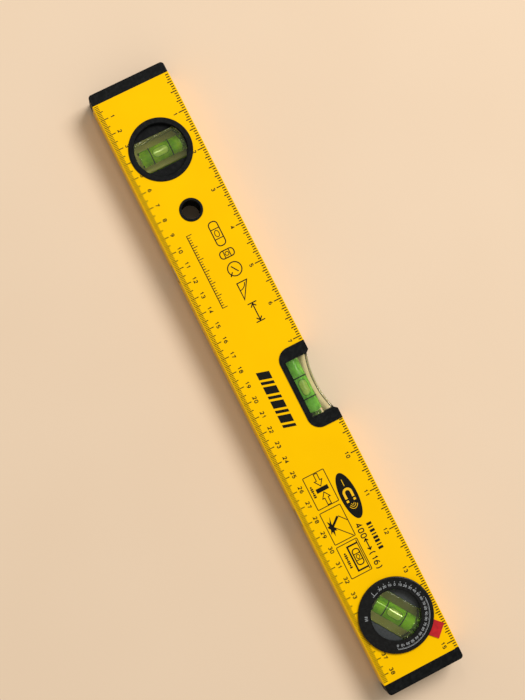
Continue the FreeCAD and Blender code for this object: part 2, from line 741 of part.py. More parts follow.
def edge_frame(doc, s):
    """The black frame in the notch: flanges on both faces, a channel for the block."""
    body = new_body(doc, "centre_frame")

    def block_of(name, half, low, bottom, thickness, corner):
        drawn = sketch(body, "XY_Plane", name, bottom)
        rectangle(drawn, -half, half, low, s.frame_top)
        pad(body, drawn, thickness)
        dress(body, "Fillet", corner, lambda item: runs_along(item, TOP)
              and lies_at(item, Y=low))
    core_half = s.frame_width / 2 - s.frame_lip - s.seat_clearance
    core_low = s.frame_bottom + s.frame_lip + s.seat_clearance
    block_of("frame_core", core_half, core_low, -s.face, s.profile_thickness,
             s.frame_corner - s.frame_lip)
    half = s.frame_width / 2
    block_of("frame_front", half, s.frame_bottom, s.face, s.frame_proud, s.frame_corner)
    block_of("frame_back", half, s.frame_bottom, -s.face - s.frame_proud, s.frame_proud,
             s.frame_corner)

    channel = s.edge_block_thickness / 2 + s.seat_clearance
    chamber = sketch(body, "XY_Plane", "frame_chamber", channel)
    chamber_half = s.edge_block_half + s.seat_clearance
    rectangle(chamber, -chamber_half, chamber_half, s.edge_block_bottom - s.seat_clearance,
              s.edge + OVERSHOOT)
    pocket(body, chamber, channel * 2)

    window = sketch(body, "XY_Plane", "frame_window", s.face + OVERSHOOT)
    side, mouth = s.window_width / 2, s.window_width / 2 + s.window_flare
    flare_low = s.frame_top - s.window_flare_depth
    outline(window, [(-side, s.window_bottom), (side, s.window_bottom), (side, flare_low),
                     (mouth, s.frame_top), (mouth, s.edge + OVERSHOOT),
                     (-mouth, s.edge + OVERSHOOT), (-mouth, s.frame_top), (-side, flare_low)])
    pocket(body, window)
    return place(body, s, x=s.notch_offset)


def edge_block(doc, s):
    """The clear block of the edge vial, with a hollow top and a blind bore along X."""
    body = new_body(doc, "centre_vial_block")
    end, side = s.edge_block_half, s.window_width / 2
    shoulder = s.edge - s.edge_block_inset
    drawn = sketch(body, "XY_Plane", "edge_block_face")
    corners = [(-side, shoulder), (-end, shoulder), (-end, s.edge_block_bottom),
               (end, s.edge_block_bottom), (end, shoulder), (side, shoulder)]
    points = [FreeCAD.Vector(x.number, y.number, 0) for x, y in corners]
    items = []
    for start, finish in zip(points, points[1:]):
        items.append(drawn.addGeometry(Part.LineSegment(start, finish), False))
    sag = shoulder - s.edge_block_sag
    dip = Part.Arc(points[0], FreeCAD.Vector(0, sag.number, 0), points[-1])
    arc = drawn.addGeometry(dip, False)
    for item, follower in zip(items, items[1:]):
        drawn.addConstraint(Sketcher.Constraint("Coincident", item, 2, follower, 1))
    drawn.addConstraint(Sketcher.Constraint("Coincident", items[0], 1, arc, 1))
    drawn.addConstraint(Sketcher.Constraint("Coincident", items[-1], 2, arc, 2))
    for item, (x, y) in zip(items, corners):
        pin(drawn, item, 1, x, y)
    pin(drawn, items[-1], 2, side, shoulder)
    hollow_radius = (side * side + s.edge_block_sag * s.edge_block_sag) / (s.edge_block_sag * 2)
    bind(drawn, "Radius", arc, hollow_radius)
    pad(body, drawn, s.edge_block_thickness, both_ways=True)
    half = s.edge_block_thickness / 2
    dress(body, "Fillet", s.block_edge, lambda item: lies_at(item, Z=half)
          or lies_at(item, Z=-half))

    bore = sketch(body, "YZ_Plane", "edge_block_bore", end + OVERSHOOT)
    circle(bore, s.edge_barrel_radius, s.edge_barrel_y, s.zero)
    pocket(body, bore, end + OVERSHOOT - s.edge_barrel_start)
    return place(body, s, x=s.notch_offset)


def edge_vial(doc, s):
    """The pieces in the bore of the edge block."""
    bubble = (s.edge_bubble_length, s.edge_bubble_width, s.edge_bubble_height)
    spot = {"x": s.notch_offset, "y": s.edge_barrel_y}
    return Vial(doc, s, "centre", s.edge_barrel_radius, s.edge_barrel_start, s.edge_plug_start,
                s.edge_line_spacing, bubble, spot).build()


# ---- magnets in the base edge ----

def pair_along_base(doc, s, label, make):
    """Two alike solids in one node, one each side of the middle."""
    pieces = [make(f"{label}_{number}", s.magnet_offset * side)
              for number, side in enumerate((-1, 1))]
    group = doc.addObject("Part::Compound", label)
    group.Label = label
    group.Links = pieces
    return place(group, s)


def stub(doc, s, name, radius, x, start, length):
    """A cylinder that stands in from the base edge along +Y."""
    piece = doc.addObject("Part::Cylinder", name)
    piece.setExpression("Radius", radius.formula)
    piece.setExpression("Height", length.formula)
    piece.Placement = FreeCAD.Placement(FreeCAD.Vector(0, 0, 0), FreeCAD.Rotation(0, 0, -90))
    piece.setExpression("Placement.Base.x", x.formula)
    piece.setExpression("Placement.Base.y", (start - s.edge).formula)
    return piece


def magnets(doc, s):
    """Two magnet discs just below the base edge."""
    def disc_at(name, x):
        return stub(doc, s, name, s.magnet_radius, x, s.magnet_setback, s.magnet_thickness)
    return pair_along_base(doc, s, "base_magnets", disc_at)


def magnet_cups(doc, s):
    """The plastic cups that hold the magnets in the profile."""
    depth = s.magnet_setback + s.magnet_thickness + s.seat_clearance

    def cup_at(name, x):
        bore = s.magnet_radius + s.seat_clearance
        shell = stub(doc, s, name + "_shell", bore + s.cup_wall, x, s.magnet_setback,
                     depth + s.cup_floor - s.magnet_setback)
        room = stub(doc, s, name + "_room", bore, x, size(-OVERSHOOT), depth + OVERSHOOT)
        cup = doc.addObject("Part::Cut", name)
        cup.Base = shell
        cup.Tool = room
        return cup
    return pair_along_base(doc, s, "magnet_cups", cup_at)


# ---- the whole level ----

def build(doc):
    """Every sub-part of the level, in the order it would be laid out on a bench."""
    s = Sizes(doc)
    doc.recompute()
    pieces = [profile(doc, s)]
    pieces.append(end_cap(doc, s, "end_cap_left", -1))
    pieces.append(end_cap(doc, s, "end_cap_right", 1))
    pieces.append(plumb_bezel(doc, s, "plumb_bezel_front", 1))
    pieces.append(plumb_bezel(doc, s, "plumb_bezel_back", -1))
    pieces.append(round_block(doc, s, "plumb_vial_block", s.plumb_x, s.plumb_angle))
    pieces.extend(round_vial(doc, s, "plumb", s.plumb_x, s.plumb_angle))
    pieces.append(hang_sleeve(doc, s, "hang_sleeve_front", 1))
    pieces.append(hang_sleeve(doc, s, "hang_sleeve_back", -1))
    pieces.append(edge_frame(doc, s))
    pieces.append(edge_block(doc, s))
    pieces.extend(edge_vial(doc, s))
    pieces.append(index_collar(doc, s))
    pieces.append(dial_ring(doc, s, "dial_ring_front", 1))
    pieces.append(dial_ring(doc, s, "dial_ring_back", -1))
    pieces.append(friction_ring(doc, s))
    pieces.append(round_block(doc, s, "dial_vial_block", s.dial_x, s.dial_angle))
    pieces.extend(round_vial(doc, s, "dial", s.dial_x, s.dial_angle))
    pieces.append(magnets(doc, s))
    pieces.append(magnet_cups(doc, s))
    doc.recompute()
    return pieces


def check(doc, pieces):
    """Stop if any object failed to build or any sub-part is null or not valid."""
    for item in doc.Objects:
        if "Invalid" in item.State or "Error" in item.State:
            raise RuntimeError(f"{item.Name} failed to build: {item.State}")
    for piece in pieces:
        if piece.Shape.isNull() or not piece.Shape.isValid() or not piece.Shape.Solids:
            raise RuntimeError(f"{piece.Label} has no valid solid")


def export(pieces):
    os.makedirs("parts", exist_ok=True)
    for piece in pieces:
        piece.Shape.exportStep(f"parts/{piece.Label}.step")
        box = piece.Shape.BoundBox
        print(f"{piece.Label:22s} {len(piece.Shape.Solids)} solid  "
              f"x {box.XMin:8.2f} {box.XMax:8.2f}  y {box.YMin:7.2f} {box.YMax:7.2f}  "
              f"z {box.ZMin:6.2f} {box.ZMax:6.2f}  {piece.Shape.Volume:9.1f} mm3")


document = FreeCAD.newDocument("spirit_level")
parts = build(document)
check(document, parts)
export(parts)
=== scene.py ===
import logging
import math
from dataclasses import dataclass, field
from enum import Enum
from typing import Iterable, Sequence

import bmesh
import bpy
from mathutils import Matrix, Vector


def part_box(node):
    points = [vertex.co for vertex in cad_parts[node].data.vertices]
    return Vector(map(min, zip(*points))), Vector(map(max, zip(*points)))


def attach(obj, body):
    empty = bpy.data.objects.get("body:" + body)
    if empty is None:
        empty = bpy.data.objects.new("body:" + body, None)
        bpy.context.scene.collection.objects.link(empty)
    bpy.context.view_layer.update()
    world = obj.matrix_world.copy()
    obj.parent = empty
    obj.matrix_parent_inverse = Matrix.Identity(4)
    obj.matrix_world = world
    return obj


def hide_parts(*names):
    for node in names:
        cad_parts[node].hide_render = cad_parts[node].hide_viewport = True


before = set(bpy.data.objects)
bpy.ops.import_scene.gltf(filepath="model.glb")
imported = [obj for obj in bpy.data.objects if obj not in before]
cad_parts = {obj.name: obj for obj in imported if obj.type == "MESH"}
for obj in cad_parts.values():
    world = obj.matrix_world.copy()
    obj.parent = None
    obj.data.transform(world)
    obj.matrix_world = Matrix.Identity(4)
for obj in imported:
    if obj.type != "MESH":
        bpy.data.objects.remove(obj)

# The looks of a 400 mm box-section spirit level that lies on its back: +X along it towards the
# dial, +Y its top edge, +Z out of its printed face. Lengths in the classes below are millimetres
# and are turned into metres where a mesh, lamp or camera is made.

MM = 0.001
HALF_TURN, WHOLE_TURN = 180.0, 360.0
Point = tuple[float, float]
Spot = tuple[float, float, float]
Colour = tuple[float, float, float]
Pair = tuple[float, float]
Triple = tuple[float, float, float]
Quad = tuple[float, float, float, float]
Socket = bpy.types.NodeSocket
Material = bpy.types.Material
Mesh = bpy.types.Mesh
BMesh = bmesh.types.BMesh
BMVert = bmesh.types.BMVert
log = logging.getLogger("spirit_level")


class Rides(str, Enum):
    """The bodies that pieces ride on."""

    LEVEL = "level"
    DIAL = "dial"
    PLUMB_BUBBLE = "plumb_bubble"
    CENTRE_BUBBLE = "centre_bubble"
    DIAL_BUBBLE = "dial_bubble"


class Slot(str, Enum):
    """The record's material slots that new pieces take their finish from."""

    LINE_PAINT = "line_paint"
    DIAL = "dial_plastic"
    LIQUID = "vial_liquid"
    BUBBLE = "bubble_air"
    COAT = "yellow_coat"


# ---- Shader building ---------------------------------------------------------------------------


class Shader:
    """A node material in the making, with short words for the nodes that the finishes use."""

    def __init__(self, name: str) -> None:
        """Start an empty material with one Principled shader.

        Args:
            name: the material's name.
        """
        self.material = bpy.data.materials.new(name)
        self.material.use_nodes = True
        self.nodes = self.material.node_tree.nodes
        self.links = self.material.node_tree.links
        self.nodes.clear()
        self.output = self.nodes.new("ShaderNodeOutputMaterial")
        self.surface = self.nodes.new("ShaderNodeBsdfPrincipled")
        self.links.new(self.surface.outputs["BSDF"], self.output.inputs["Surface"])
        self.place = self.nodes.new("ShaderNodeTexCoord").outputs["Object"]

    def set(self, **values: object) -> "Shader":
        """Set uniform values on the Principled shader.

        Args:
            values: one for each input, with _ for a space in its name.

        Returns:
            This shader.
        """
        for name, value in values.items():
            self.surface.inputs[name.replace("_", " ")].default_value = value
        return self

    def stretched(self, along: Sequence[float]) -> Socket:
        """The piece's own coordinates, scaled by a factor for each axis.

        Args:
            along: the three factors.

        Returns:
            A vector socket.
        """
        mapping = self.nodes.new("ShaderNodeMapping")
        mapping.inputs["Scale"].default_value = along
        self.links.new(self.place, mapping.inputs["Vector"])
        return mapping.outputs["Vector"]

    def noise(self, size_mm: float, detail: float = 2.0, rough: float = 0.5,
              where: Socket | None = None) -> Socket:
        """Noise whose blotches are about size_mm across.

        Args:
            size_mm: rough size of one blotch.
            detail: octaves.
            rough: how strong the fine octaves are.
            where: coordinates; the piece's own by default.

        Returns:
            The noise value's socket.
        """
        node = self.nodes.new("ShaderNodeTexNoise")
        node.inputs["Scale"].default_value = 1.0 / (size_mm * MM)
        node.inputs["Detail"].default_value = detail
        node.inputs["Roughness"].default_value = rough
        self.links.new(where or self.place, node.inputs["Vector"])
        return node.outputs["Fac"]

    def cells(self, size_mm: float) -> Socket:
        """Random cells, for a moulded grain.

        Args:
            size_mm: rough size of one cell.

        Returns:
            The socket of the distance to a cell's middle.
        """
        node = self.nodes.new("ShaderNodeTexVoronoi")
        node.inputs["Scale"].default_value = 1.0 / (size_mm * MM)
        self.links.new(self.place, node.inputs["Vector"])
        return node.outputs["Distance"]

    def spread(self, value: Socket, low: float, high: float,
               start: float = 0.3, end: float = 0.7) -> Socket:
        """Map a noise's usual span onto low..high.

        Args:
            value: the socket to map.
            low: result at start.
            high: result at end.
            start: value that gives low.
            end: value that gives high.

        Returns:
            The mapped value's socket.
        """
        node = self.nodes.new("ShaderNodeMapRange")
        node.inputs["From Min"].default_value = start
        node.inputs["From Max"].default_value = end
        node.inputs["To Min"].default_value = low
        node.inputs["To Max"].default_value = high
        self.links.new(value, node.inputs["Value"])
        return node.outputs["Result"]

    def mix(self, share: Socket, first: Socket | Colour, second: Colour) -> Socket:
        """Mix two colours by a share that varies over the surface.

        Args:
            share: how much of the second colour shows.
            first: a colour, or the socket of one that varies.
            second: the other colour.

        Returns:
            The mixed colour's socket.
        """
        node = self.nodes.new("ShaderNodeMix")
        node.data_type = "RGBA"
        if isinstance(first, Socket):
            self.links.new(first, node.inputs["A"])
        else:
            node.inputs["A"].default_value = (*first, 1.0)
        node.inputs["B"].default_value = (*second, 1.0)
        self.links.new(share, node.inputs["Factor"])
        return node.outputs["Result"]

    def colour(self, value: Socket, first: Colour, second: Colour, start: float = 0.3,
               end: float = 0.7) -> "Shader":
        """Let the base colour vary between two colours.

        Args:
            value: the noise that it follows.
            first: colour where the noise is low.
            second: colour where it is high.
            start: noise value up to which only the first shows.
            end: noise value from which only the second shows.

        Returns:
            This shader.
        """
        share = self.spread(value, 0.0, 1.0, start, end)
        self.links.new(self.mix(share, first, second), self.surface.inputs["Base Color"])
        return self

    def below(self, level_mm: float, tone: Colour, fade_mm: float = 0.4) -> "Shader":
        """Turn the base colour to another below a height on the piece.

        Args:
            level_mm: the height, millimetres.
            tone: colour below it.
            fade_mm: depth under it over which the colour turns.

        Returns:
            This shader.
        """
        split = self.nodes.new("ShaderNodeSeparateXYZ")
        self.links.new(self.place, split.inputs["Vector"])
        under = self.spread(split.outputs["Z"], 1.0, 0.0, (level_mm - fade_mm) * MM, level_mm * MM)
        base = self.surface.inputs["Base Color"]
        self.links.new(self.mix(under, base.links[0].from_socket, tone), base)
        return self

    def roughness(self, value: Socket, low: float, high: float) -> "Shader":
        """Let the roughness follow a noise from low to high."""
        self.links.new(self.spread(value, low, high), self.surface.inputs["Roughness"])
        return self

    def bump(self, *layers: tuple[Socket, float, float]) -> "Shader":
        """Stack bump layers on the surface normal.

        Args:
            layers: each a height socket, a strength and a depth in millimetres.

        Returns:
            This shader.
        """
        normal = None
        for height, strength, depth_mm in layers:
            node = self.nodes.new("ShaderNodeBump")
            node.inputs["Strength"].default_value = strength
            node.inputs["Distance"].default_value = depth_mm * MM
            self.links.new(height, node.inputs["Height"])
            if normal is not None:
                self.links.new(normal, node.inputs["Normal"])
            normal = node.outputs["Normal"]
        self.links.new(normal, self.surface.inputs["Normal"])
        return self


# ---- Finishes ----------------------------------------------------------------------------------


@dataclass(frozen=True)
class YellowCoat:
    """Satin yellow powder coat with a faint orange peel and a few dull patches.

    Attributes:
        main: its colour.
        warm: its colour in the duller patches.
        sheen: tint of its gloss.
        patch_mm: size of the patches.
        rub_mm: size of the rubbed streaks.
        rub_along: how much the streaks are drawn out along the level.
        peel_mm: size of the orange peel.
        powder_mm: size of the powder's own grain.
    """

    name: str = "yellow_powder_coat"
    main: Colour = (0.955, 0.550, 0.0003)
    warm: Colour = (0.920, 0.518, 0.0003)
    sheen: Quad = (1.0, 0.74, 0.12, 1.0)
    patch_mm: float = 28.0
    rub_mm: float = 9.0
    rub_along: Triple = (0.3, 1.0, 1.0)
    peel_mm: float = 0.9
    powder_mm: float = 0.18

    def make(self) -> Material:
        """The finished material."""
        shader = Shader(self.name).set(Specular_IOR_Level=0.14, Specular_Tint=self.sheen)
        shader.colour(shader.noise(self.patch_mm, detail=3.0), self.main, self.warm,
                      start=0.25, end=0.75)
        rubbed = shader.noise(self.rub_mm, detail=4.0, rough=0.6,
                              where=shader.stretched(self.rub_along))
        shader.roughness(rubbed, low=0.30, high=0.44)
        shader.bump((shader.noise(self.peel_mm, detail=2.0), 0.10, 0.02),
                    (shader.noise(self.powder_mm, detail=1.0), 0.06, 0.006))
        return shader.material


@dataclass(frozen=True)
class MouldedBlack:
    """Black plastic with a spark-eroded grain, greyed a little where it is handled.

    Attributes:
        main: its colour.
        rubbed: its colour where it is handled.
        gloss: specular level.
        wear_mm: size of the handled spots.
        sheen_mm: size of the spots that differ in roughness.
        grain_mm: size of the grain.
        grain_depth: its depth, millimetres.
        rough_low: roughness of the smoothest spots.
        rough_high: roughness of the dullest.
        floors: lighter grey painted on sunk floors for the room they reflect, or none.
        floor_level: height below which they lie, millimetres.
    """

    name: str = "grained_black_plastic"
    main: Colour = (0.0024, 0.0030, 0.0034)
    rubbed: Colour = (0.0110, 0.0122, 0.0130)
    gloss: float = 0.08
    wear_mm: float = 2.2
    sheen_mm: float = 1.6
    grain_mm: float = 0.35
    grain_depth: float = 0.05
    rough_low: float = 0.42
    rough_high: float = 0.62
    floors: Colour | None = None
    floor_level: float = 19.6

    def make(self) -> Material:
        """The finished material."""
        shader = Shader(self.name).set(Specular_IOR_Level=self.gloss)
        shader.colour(shader.noise(self.wear_mm, detail=6.0, rough=0.75), self.main, self.rubbed,
                      start=0.44, end=0.70)
        # Painted sheen: below floor_level the base colour turns a lighter grey that stands for the
        # room's reflection.
        if self.floors:
            shader.below(self.floor_level, self.floors)
        shader.roughness(shader.noise(self.sheen_mm, detail=4.0), self.rough_low, self.rough_high)
        shader.bump((shader.cells(self.grain_mm), 0.5, self.grain_depth),
                    (shader.noise(self.grain_mm * 0.4, detail=2.0), 0.25, self.grain_depth / 2))
        return shader.material


@dataclass(frozen=True)
class RedMoulding:
    """Semi-gloss red plastic with slight flow marks and a dusting of wear.

    Attributes:
        main: its colour.
        deep: its colour in the flow marks.
        flow_mm: size of the flow marks.
        wear_mm: size of the worn spots.
        skin_mm: size of the skin's waviness.
    """

    name: str = "red_moulding"
    main: Colour = (0.570, 0.013, 0.021)
    deep: Colour = (0.380, 0.010, 0.015)
    flow_mm: float = 3.0
    wear_mm: float = 1.2
    skin_mm: float = 0.4

    def make(self) -> Material:
        """The finished material."""
        shader = Shader(self.name).set(Specular_IOR_Level=0.22)
        shader.colour(shader.noise(self.flow_mm, detail=4.0), self.main, self.deep)
        shader.roughness(shader.noise(self.wear_mm, detail=3.0), low=0.28, high=0.5)
        shader.bump((shader.noise(self.skin_mm, detail=2.0), 0.2, 0.02))
        return shader.material


@dataclass(frozen=True)
class ClearAcrylic:
    """Cast acrylic, faintly yellow-green from the liquid's dye, with fine polishing marks.

    Attributes:
        main: its tint.
        edge: its tint where it is hazier.
        clear: share of light let through.
        haze_mm: size of the hazier spots.
        smear_mm: size of the spots that differ in polish.
        mark_mm: size of the polishing marks.
        marks_along: how much those are drawn out along the level.
        wave_mm: size of the casting's slow waves.
    """

    name: str = "clear_acrylic"
    main: Colour = (0.930, 1.000, 0.600)
    edge: Colour = (0.850, 0.970, 0.420)
    clear: float = 0.98
    haze_mm: float = 6.0
    smear_mm: float = 2.0
    mark_mm: float = 0.5
    marks_along: Triple = (0.12, 1.0, 1.0)
    wave_mm: float = 7.0

    def make(self) -> Material:
        """The finished material."""
        shader = Shader(self.name).set(IOR=1.49, Transmission_Weight=self.clear)
        shader.colour(shader.noise(self.haze_mm, detail=3.0), self.main, self.edge)
        shader.roughness(shader.noise(self.smear_mm, detail=4.0), low=0.0, high=0.035)
        marks = shader.noise(self.mark_mm, detail=3.0, where=shader.stretched(self.marks_along))
        shader.bump((marks, 0.05, 0.01), (shader.noise(self.wave_mm, detail=1.0), 0.08, 0.05))
        return shader.material


@dataclass(frozen=True)
class VialLiquid:
    """Dyed, partly clear liquid with a painted glow: emission for its fluorescent dye's light.

    Attributes:
        bright: its colour where the dye is thin.
        deep: its colour where the dye is strong.
        clear: share of light let through.
        glow: strength of the painted glow, which shines whatever light falls on it.
        swirl_mm: size of the swirls of dye.
        skin_mm: size of the spots that differ in gloss.
        wave_mm: size of the skin's waves.
    """

    name: str = "vial_liquid"
    bright: Colour = (0.380, 0.640, 0.010)
    deep: Colour = (0.130, 0.370, 0.008)
    clear: float = 0.26
    glow: float = 0.07
    swirl_mm: float = 6.0
    skin_mm: float = 3.0
    wave_mm: float = 5.0

    def make(self) -> Material:
        """The finished material."""
        shader = Shader(self.name).set(IOR=1.36, Transmission_Weight=self.clear,
                                       Specular_IOR_Level=0.4)
        shader.colour(shader.noise(self.swirl_mm, detail=2.0), self.bright, self.deep,
                      start=0.36, end=0.66)
        # Painted glow: the liquid gives off its bright colour as light, though it is no lamp.
        shader.set(Emission_Color=(*self.bright, 1.0), Emission_Strength=self.glow)
        shader.roughness(shader.noise(self.skin_mm, detail=2.0), low=0.02, high=0.08)
        shader.bump((shader.noise(self.wave_mm, detail=1.0), 0.05, 0.05))
        return shader.material


@dataclass(frozen=True)
class AirBubble:
    """Air against the wall: paler than the liquid, with a sharp gleam.

    Attributes:
        main: its colour.
        dull: its colour in its darker spots.
        spot_mm: size of those spots.
        skin_mm: size of the spots that differ in gloss.
        wave_mm: size of the skin's waves.
    """

    name: str = "air_bubble"
    main: Colour = (0.720, 0.960, 0.200)
    dull: Colour = (0.560, 0.860, 0.120)
    spot_mm: float = 2.0
    skin_mm: float = 1.5
    wave_mm: float = 3.0

    def make(self) -> Material:
        """The finished material."""
        shader = Shader(self.name).set(IOR=1.6, Transmission_Weight=0.25,
                                       Specular_IOR_Level=1.0)
        shader.colour(shader.noise(self.spot_mm), self.main, self.dull)
        shader.roughness(shader.noise(self.skin_mm), low=0.03, high=0.07)
        shader.bump((shader.noise(self.wave_mm, detail=1.0), 0.03, 0.02))
        return shader.material


@dataclass(frozen=True)
class Ink:
    """Pad-printed ink, thin and a little uneven at the edges of its film.

    Attributes:
        main: its colour.
        thin: its colour where the film is thin.
        rough: its roughness on the whole.
        film_mm: size of the thin spots.
        sheen_mm: size of the spots that differ in roughness.
        skin_mm: size of the skin's unevenness.
    """

    name: str
    main: Colour
    thin: Colour
    rough: float = 0.45
    film_mm: float = 0.5
    sheen_mm: float = 0.8
    skin_mm: float = 0.25

    def make(self) -> Material:
        """The finished material."""
        shader = Shader(self.name).set(Specular_IOR_Level=0.10)
        shader.colour(shader.noise(self.film_mm, detail=4.0, rough=0.6), self.main, self.thin,
                      start=0.5, end=0.8)
        shader.roughness(shader.noise(self.sheen_mm, detail=3.0), self.rough - 0.08,
                         self.rough + 0.12)
        shader.bump((shader.noise(self.skin_mm, detail=2.0), 0.2, 0.01))
        return shader.material


@dataclass(frozen=True)
class Stopper:
    """Translucent green stopper, softer and duller than the acrylic.

    Attributes:
        main: its colour.
        deep: its colour in its darker spots.
        spot_mm: size of those spots.
        sheen_mm: size of the spots that differ in gloss.
        skin_mm: size of the skin's waviness.
    """

    name: str = "green_stopper"
    main: Colour = (0.230, 0.520, 0.060)
    deep: Colour = (0.120, 0.330, 0.040)
    spot_mm: float = 2.5
    sheen_mm: float = 1.5
    skin_mm: float = 0.8

    def make(self) -> Material:
        """The finished material."""
        shader = Shader(self.name).set(IOR=1.47, Transmission_Weight=0.55)
        shader.colour(shader.noise(self.spot_mm, detail=3.0), self.main, self.deep)
        shader.roughness(shader.noise(self.sheen_mm), low=0.08, high=0.22)
        shader.bump((shader.noise(self.skin_mm, detail=2.0), 0.1, 0.03))
        return shader.material


@dataclass(frozen=True)
class NickelFace:
    """Nickel-plated magnet face with lapping marks and a few scuffs.

    Attributes:
        main: its colour.
        dull: its colour in the scuffs.
        scuff_mm: size of the scuffs.
        lap_mm: size of the lapping marks.
        laps_along: how much those are drawn out along the level.
    """

    name: str = "nickel_plate"
    main: Colour = (0.640, 0.620, 0.590)
    dull: Colour = (0.420, 0.400, 0.370)
    scuff_mm: float = 1.4
    lap_mm: float = 0.6
    laps_along: Triple = (0.08, 1.0, 1.0)

    def make(self) -> Material:
        """The finished material."""
        shader = Shader(self.name).set(Metallic=1.0)
        shader.colour(shader.noise(self.scuff_mm, detail=5.0, rough=0.65), self.main, self.dull,
                      start=0.45, end=0.75)
        laps = shader.noise(self.lap_mm, detail=3.0, where=shader.stretched(self.laps_along))
        shader.roughness(laps, low=0.18, high=0.36)
        shader.bump((laps, 0.15, 0.01))
        return shader.material


@dataclass(frozen=True)
class Paper:
    """The studio's matt, pale sweep.

    Attributes:
        main: its colour.
        warm: its colour in its broad warmer clouds.
        cloud_mm: size of those clouds.
        nap_mm: size of the spots that differ in roughness.
        tooth_mm: size of the paper's tooth.
    """

    name: str = "studio_sweep"
    main: Colour = (0.800, 0.630, 0.470)
    warm: Colour = (0.780, 0.608, 0.448)
    cloud_mm: float = 160.0
    nap_mm: float = 30.0
    tooth_mm: float = 1.2

    def make(self) -> Material:
        """The finished material."""
        shader = Shader(self.name).set(Specular_IOR_Level=0.1)
        shader.colour(shader.noise(self.cloud_mm, detail=2.0), self.main, self.warm)
        shader.roughness(shader.noise(self.nap_mm), low=0.85, high=0.95)
        shader.bump((shader.noise(self.tooth_mm, detail=3.0), 0.06, 0.05))
        return shader.material


@dataclass(frozen=True)
class Finishes:
    """Every material of the level, each made once."""

    coat: Material
    black: Material
    dial_black: Material
    rubber: Material
    red: Material
    acrylic: Material
    edge_acrylic: Material
    liquid: Material
    edge_liquid: Material
    dial_liquid: Material
    bubble: Material
    rim: Material
    stopper: Material
    line: Material
    black_ink: Material
    white_ink: Material
    yellow_ink: Material
    nickel: Material

    @classmethod
    def made(cls) -> "Finishes":
        """Make them all."""
        return cls(
            coat=YellowCoat().make(),
            black=MouldedBlack().make(),
            # The dial's sunk floors carry a painted sheen: a lighter grey base colour in place of
            # their reflection of the room.
            dial_black=MouldedBlack("dial_black_plastic", main=(0.0018, 0.0021, 0.0024),
                                    rubbed=(0.0080, 0.0086, 0.0092), gloss=0.26, grain_mm=0.22,
                                    grain_depth=0.012, rough_low=0.22, rough_high=0.34,
                                    floors=(0.046, 0.052, 0.055)).make(),
            rubber=MouldedBlack(name="black_rubber", grain_mm=0.15, rough_low=0.6,
                                rough_high=0.8).make(),
            red=RedMoulding().make(),
            acrylic=ClearAcrylic().make(),
            edge_acrylic=ClearAcrylic("edge_vial_acrylic", (0.985, 0.995, 0.780),
                                      (0.930, 0.965, 0.600), 0.99).make(),
            # The three liquids each carry a painted glow, emission in their bright colour.
            liquid=VialLiquid().make(),
            edge_liquid=VialLiquid(name="edge_vial_liquid", bright=(0.29, 0.80, 0.09),
                                   deep=(0.15, 0.55, 0.05), clear=0.22, glow=0.08).make(),
            dial_liquid=VialLiquid(name="dial_vial_liquid", bright=(0.35, 0.72, 0.020),
                                   deep=(0.15, 0.45, 0.015), glow=0.085).make(),
            bubble=AirBubble().make(),
            # The bubble's rim is painted shade: a dark green film that stands for the curved
            # meniscus's dark edge.
            rim=Ink("bubble_shade_rim", (0.060, 0.210, 0.012), (0.110, 0.330, 0.020), 0.3).make(),
            stopper=Stopper().make(),
            line=Ink("line_paint", (0.006, 0.008, 0.006), (0.020, 0.025, 0.018)).make(),
            black_ink=Ink("black_ink", (0.0042, 0.0040, 0.0030), (0.020, 0.015, 0.005)).make(),
            white_ink=Ink("white_ink", (0.440, 0.465, 0.490), (0.260, 0.280, 0.310)).make(),
            yellow_ink=Ink("yellow_ink", (0.90, 0.52, 0.010), (0.78, 0.44, 0.010)).make(),
            nickel=NickelFace().make(),
        )


# ---- Mesh building -----------------------------------------------------------------------------


def dress(names: Iterable[str], finish: Material) -> None:
    """Give CAD nodes a finish in place of their plain one.

    Args:
        names: CAD nodes.
        finish: the material for all of them.
    """
    for name in names:
        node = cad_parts[name]
        node.data.materials.clear()
        node.data.materials.append(finish)
        log.info("dressed %s in %s", name, finish.name)


def add_piece(name: str, mesh: Mesh, finish: Material, body: Rides) -> bpy.types.Object:
    """Add a mesh in the frame's own coordinates as a piece that rides on a body.

    Args:
        name: the piece's name.
        mesh: its mesh, in metres.
        finish: its material.
        body: what it rides on.

    Returns:
        The new object.
    """
    mesh.materials.clear()
    mesh.materials.append(finish)
    piece = bpy.data.objects.new(name, mesh)
    bpy.context.scene.collection.objects.link(piece)
    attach(piece, body.value)
    log.info("built %s with %d faces, riding on %s", name, len(mesh.polygons), body.value)
    return piece


def join_rings(work: BMesh, ring: Sequence[BMVert], following: Sequence[BMVert]) -> None:
    """Join two closed rings of vertices with four-sided faces.

    Args:
        work: the mesh in the making.
        ring: the first ring.
        following: the second, with as many vertices.
    """
    count = len(ring)
    for i in range(count):
        j = (i + 1) % count
        work.faces.new((ring[i], following[i], following[j], ring[j]))


def join_tip(work: BMesh, tip: BMVert, ring: Sequence[BMVert]) -> None:
    """Join a point to a closed ring of vertices with triangles.

    Args:
        work: the mesh in the making.
        tip: the point.
        ring: the ring.
    """
    count = len(ring)
    for i in range(count):
        work.faces.new((tip, ring[i], ring[(i + 1) % count]))


def made_mesh(work: BMesh, name: str, smooth: bool = False) -> Mesh:
    """Turn a working mesh's faces outwards and make it a mesh.

    Args:
        work: the mesh in the making, which is freed.
        name: the mesh's name.
        smooth: whether it is shaded smooth.

    Returns:
        The new mesh.
    """
    bmesh.ops.recalc_face_normals(work, faces=work.faces)
    mesh = bpy.data.meshes.new(name)
    work.to_mesh(mesh)
    work.free()
    if smooth:
        mesh.shade_smooth()
    return mesh


